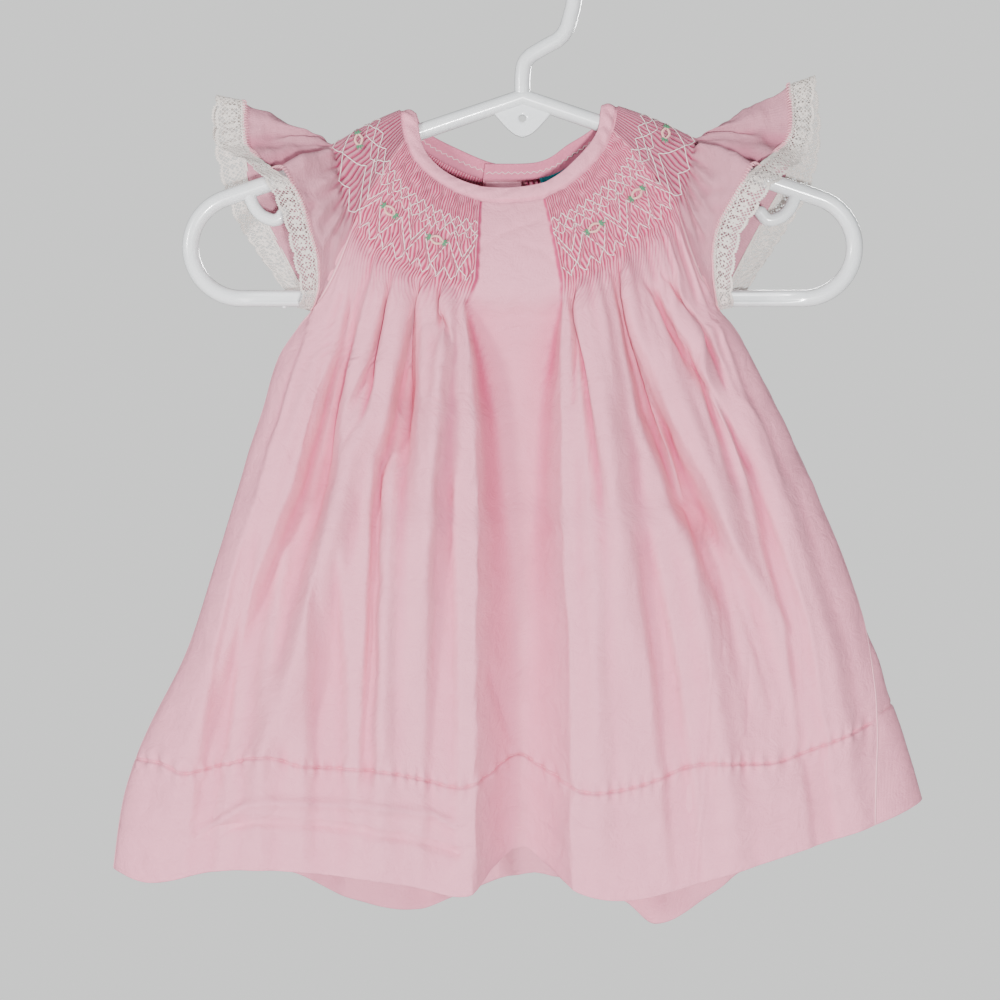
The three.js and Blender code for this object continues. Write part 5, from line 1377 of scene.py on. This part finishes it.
# Small waves: height in the band, size, whether they start at the top, and thickness of the thread.
SMALL_WAVES = ((0.29, 0.08, False, 1.0), (0.375, 0.08, True, 1.0), (0.46, 0.07, False, 0.8))
thread_cotton, tree, shader = new_material("cream_smocking_thread", {"Roughness": 0.7, "Sheen Weight": 0.3})
place = add(tree, "TexCoord", "Object", {})
ply = add(tree, "TexNoise", "Fac", {"Vector": place, "Scale": 3000})
fill(tree, shader, {"Base Color": two_tones(tree, ply, (0.86, 0.72, 0.7), (0.97, 0.93, 0.9))})


def yoke_place(count):
    """The place round the yoke of a pleat, counted from the centre front."""
    after_front = count - FRONT_PLEATS
    front_part = RAGLAN["front"] * count / FRONT_PLEATS
    sleeve_part = mix(RAGLAN["front"], RAGLAN["back"], after_front / SLEEVE_PLEATS)
    back_part = mix(RAGLAN["back"], 100, LAP_START * (after_front - SLEEVE_PLEATS) / BACK_PLEATS)
    return np.where(after_front < 0, front_part, np.where(after_front < SLEEVE_PLEATS, sleeve_part, back_part))


def band_at(side, place, w):
    seam, edge = yoke(side, place, "seam"), yoke(side, place, "edge")
    return swelled(mix(seam, edge, w[:, None]), edge, w)


def on_pleats(side, count, w, lift):
    """Points on the crests of pleats, with the directions outwards and across there."""
    place = yoke_place(count)
    base = band_at(side, place, w)
    across = band_at(side, place + 0.3, w) - band_at(side, place - 0.3, w)
    down = band_at(side, place, w + 0.01) - band_at(side, place, w - 0.01)
    out = unit(np.cross(across, down))
    guide = np.stack([0.3 * np.sign(base[:, 0]), base[:, 1] / 8, 0.8 + 0 * w], -1)
    out *= np.sign(np.sum(out * guide, -1, keepdims=True))
    across = unit(across)
    points = base + across * pleat_sway(count, w, 1)[:, None] + out * (mix(*CREST, w) + lift)[:, None]
    return points, out, across


def threaded(points, thick):
    """Points of a thread in metres, each with its share of the thread's thickness."""
    return [(*(point * 0.001), share) for point, share in zip(points, np.broadcast_to(thick, len(points)))]


def worked(side, height, first=0, last=ALL_PLEATS, thick=1.0, lift=0.12):
    """A thread over the pleats from the first to the last, thinner and lower where it catches a crest."""
    count = np.arange(first + 0.5, last, 0.5)
    crests = np.mod(count, 1) == 0.5
    points, _, _ = on_pleats(side, count, height(count), np.where(crests, lift, lift + 0.14))
    return threaded(points, thick * np.where(crests, 0.8, 1.25))


def small_wave(count, start, size, flip):
    beat = np.abs(np.mod(count + 0.5, 4) / 2 - 1)
    return start + size * (1 - beat if flip else beat)


thread_lines = []
for side in ("left", "right"):
    for start, size, flip, thick in SMALL_WAVES:
        thread_lines.append(worked(side, lambda k: small_wave(k, start, size, flip), thick=thick))
    thread_lines.append(worked(side, trellis))
    thread_lines.append(worked(side, lambda k: trellis(k, 5, 0.88, 1.0)))
    for first in range(0, ALL_PLEATS, 20):
        peak, last = first + 5.5, min(first + 11, ALL_PLEATS)
        thread_lines.append(worked(side, lambda k: valley(k, peak, 5, 0.47, 0.76), first, last))
finished("smocking_threads", tubes(thread_lines, SMOCKING_THREAD, sides=1), thread_cotton)

# Rosebuds worked on the smocking: two bullion knots of peach thread curve round an open centre, with green leaf
# stitches at both ends.
EMBROIDERY_THREAD = 0.00026
# The pleats that the rosebuds stand on, their height in the band, and the millimetres of a bullion knot.
BUDS = (15.5, 35.5, 55.5, 75.5, 93.5)
BUD_HEIGHT = 0.635
BULLION = {"points": 66, "long": 5.6, "gap": 0.35, "bow": 1.25, "coil": 0.4, "in_a_turn": 5.5}
# Leaf stitches at one end of a bud: the angle they lean at, and their length.
LEAVES = ((-0.9, 2.1), (-0.25, 2.5), (0.5, 2.4), (1.1, 1.9))


def plied(name, dark, light):
    """The smocking's cotton dyed another colour."""
    material = thread_cotton.copy()
    material.name = name
    ramp = next(n for n in material.node_tree.nodes if n.type == "VALTORGB").color_ramp
    ramp.elements[0].color = (*dark, 1)
    ramp.elements[1].color = (*light, 1)
    return material


bullions, leaves = [], []
for side in ("left", "right"):
    for count in BUDS:
        placed = on_pleats(side, np.array([count]), np.array([BUD_HEIGHT]), 0.45)
        centre, out, across = (found[0] for found in placed)
        up = np.cross(out, across)
        for turn in (1, -1):
            spiral = []
            for i in range(BULLION["points"]):
                s = i / (BULLION["points"] - 1)
                bow = math.sin(math.pi * s)
                rise = up * turn * (BULLION["gap"] + BULLION["bow"] * bow) + out * (0.15 + 0.25 * bow)
                core = centre + across * (BULLION["long"] * (s - 0.5)) + rise
                coil = i * 2 * math.pi / BULLION["in_a_turn"]
                spiral.append(core + (up * math.cos(coil) + out * math.sin(coil)) * BULLION["coil"])
            bullions.append(threaded(spiral, 1.0))
        for end in (1, -1):
            for lean, size in LEAVES:
                root = centre + across * end * BULLION["long"] / 2
                tip = root + (across * end * math.cos(lean) + up * math.sin(lean)) * size
                belly = (root + tip) / 2 + out * 0.55
                leaves.append(threaded((root, belly, tip + out * 0.1), (0.8, 1.7, 0.6)))
peach = plied("peach_thread", (0.8, 0.36, 0.32), (0.93, 0.62, 0.54))
green = plied("green_thread", (0.02, 0.15, 0.06), (0.1, 0.36, 0.19))
finished("bullion_rosebuds", tubes(bullions, EMBROIDERY_THREAD, sides=1), peach)
finished("leaf_stitches", tubes(leaves, EMBROIDERY_THREAD, sides=1), green)

# The sewing: short pink machine stitches along the hems and under the binding, whipping over the lace heading,
# a white zigzag inside the neck, and the ridges that the seam allowances make at the raglan and side seams.
HEM_STITCHES = (1.9, 0.7)
BINDING_STITCHES = (1.5, 0.6)
WHIP_STEP = 1.25
# A whip stitch's points: down from the lace's heading, out from it, and share of the thread's thickness.
WHIP = ((-0.8, 0.35, 1.4), (0.3, 0.95, 2.2), (1.4, 0.55, 1.4))
ZIGZAG = {"step": 1.4, "half": 0.5}
SEWING_THREAD = 0.00015
ZIGZAG_THREAD = 0.00013
SEAM_RIDGE = 0.00055


def dashes(line, out, stitch, gap, lift=0.12):
    """Stitches along a line, each sunk into the cloth at both ends."""
    run = lengths(line)
    made = []
    at = 0.3
    while at + stitch < run[-1]:
        points = np.stack([point_at(at + stitch * s, run, line) for s in (0, 0.5, 1)])
        heights = np.array([lift - 0.12, lift, lift - 0.12])[:, None]
        made.append(threaded(points + point_at(at + stitch / 2, run, out) * heights, (0.7, 1, 0.7)))
        at += stitch + gap
    return made


hem_row = BAND_ROWS + int(np.argmin(np.abs(skirt_t - HEM_T)))
underarm_row = BAND_ROWS + int(np.searchsorted(skirt_t, UNDERARM["t"])) + 1
sewing = dashes(front_points[hem_row], normal[hem_row], *HEM_STITCHES)
seams = [threaded(front_points[: len(normal), edge] - normal[:, edge] * 0.35, 1.0) for edge in (0, -1)]
for side in ("left", "right"):
    points, out = backs[side]
    sewing += dashes(points[hem_row], out[hem_row], *HEM_STITCHES)
    seams.append(threaded(points[:underarm_row, 0] - out[:underarm_row, 0] * 0.35, 1.3))
    points, out = sleeves[side]
    heading = points[-2]
    run = lengths(heading)
    for at in np.arange(0.5, run[-1], WHIP_STEP):
        foot, out_at = point_at(at, run, heading), point_at(at, run, out[-2])
        down_at = unit(point_at(at, run, points[-1] - points[-4]))
        stitch = [foot + down_at * down + out_at * high for down, high, _ in WHIP]
        sewing.append(threaded(stitch, [share for _, _, share in WHIP]))
sewing += dashes(mix(seam_line, fold, 0.1), bind_out, *BINDING_STITCHES)
seam_cotton = plied("seam_cotton", (0.8, 0.36, 0.44), (0.86, 0.44, 0.52))
pink_thread = plied("pink_thread", (0.72, 0.24, 0.32), (0.9, 0.5, 0.56))
finished("seam_ridges", tubes(seams, SEAM_RIDGE), seam_cotton)
finished("sewing_stitches", tubes(sewing, SEWING_THREAD, sides=1), pink_thread)
inner_line = mix(seam_line, fold, 0.45) - bind_out * (2 * half + 0.12)
run = lengths(inner_line)
zigzag = []
for i, at in enumerate(np.arange(1, run[-1] - 1, ZIGZAG["step"])):
    toward = point_at(at, run, forward) * (ZIGZAG["half"] if i % 2 else -ZIGZAG["half"])
    zigzag.append(point_at(at, run, inner_line) + toward)
finished("neck_zigzag", tubes([threaded(zigzag, 1.0)], ZIGZAG_THREAD, sides=1), thread_cotton)
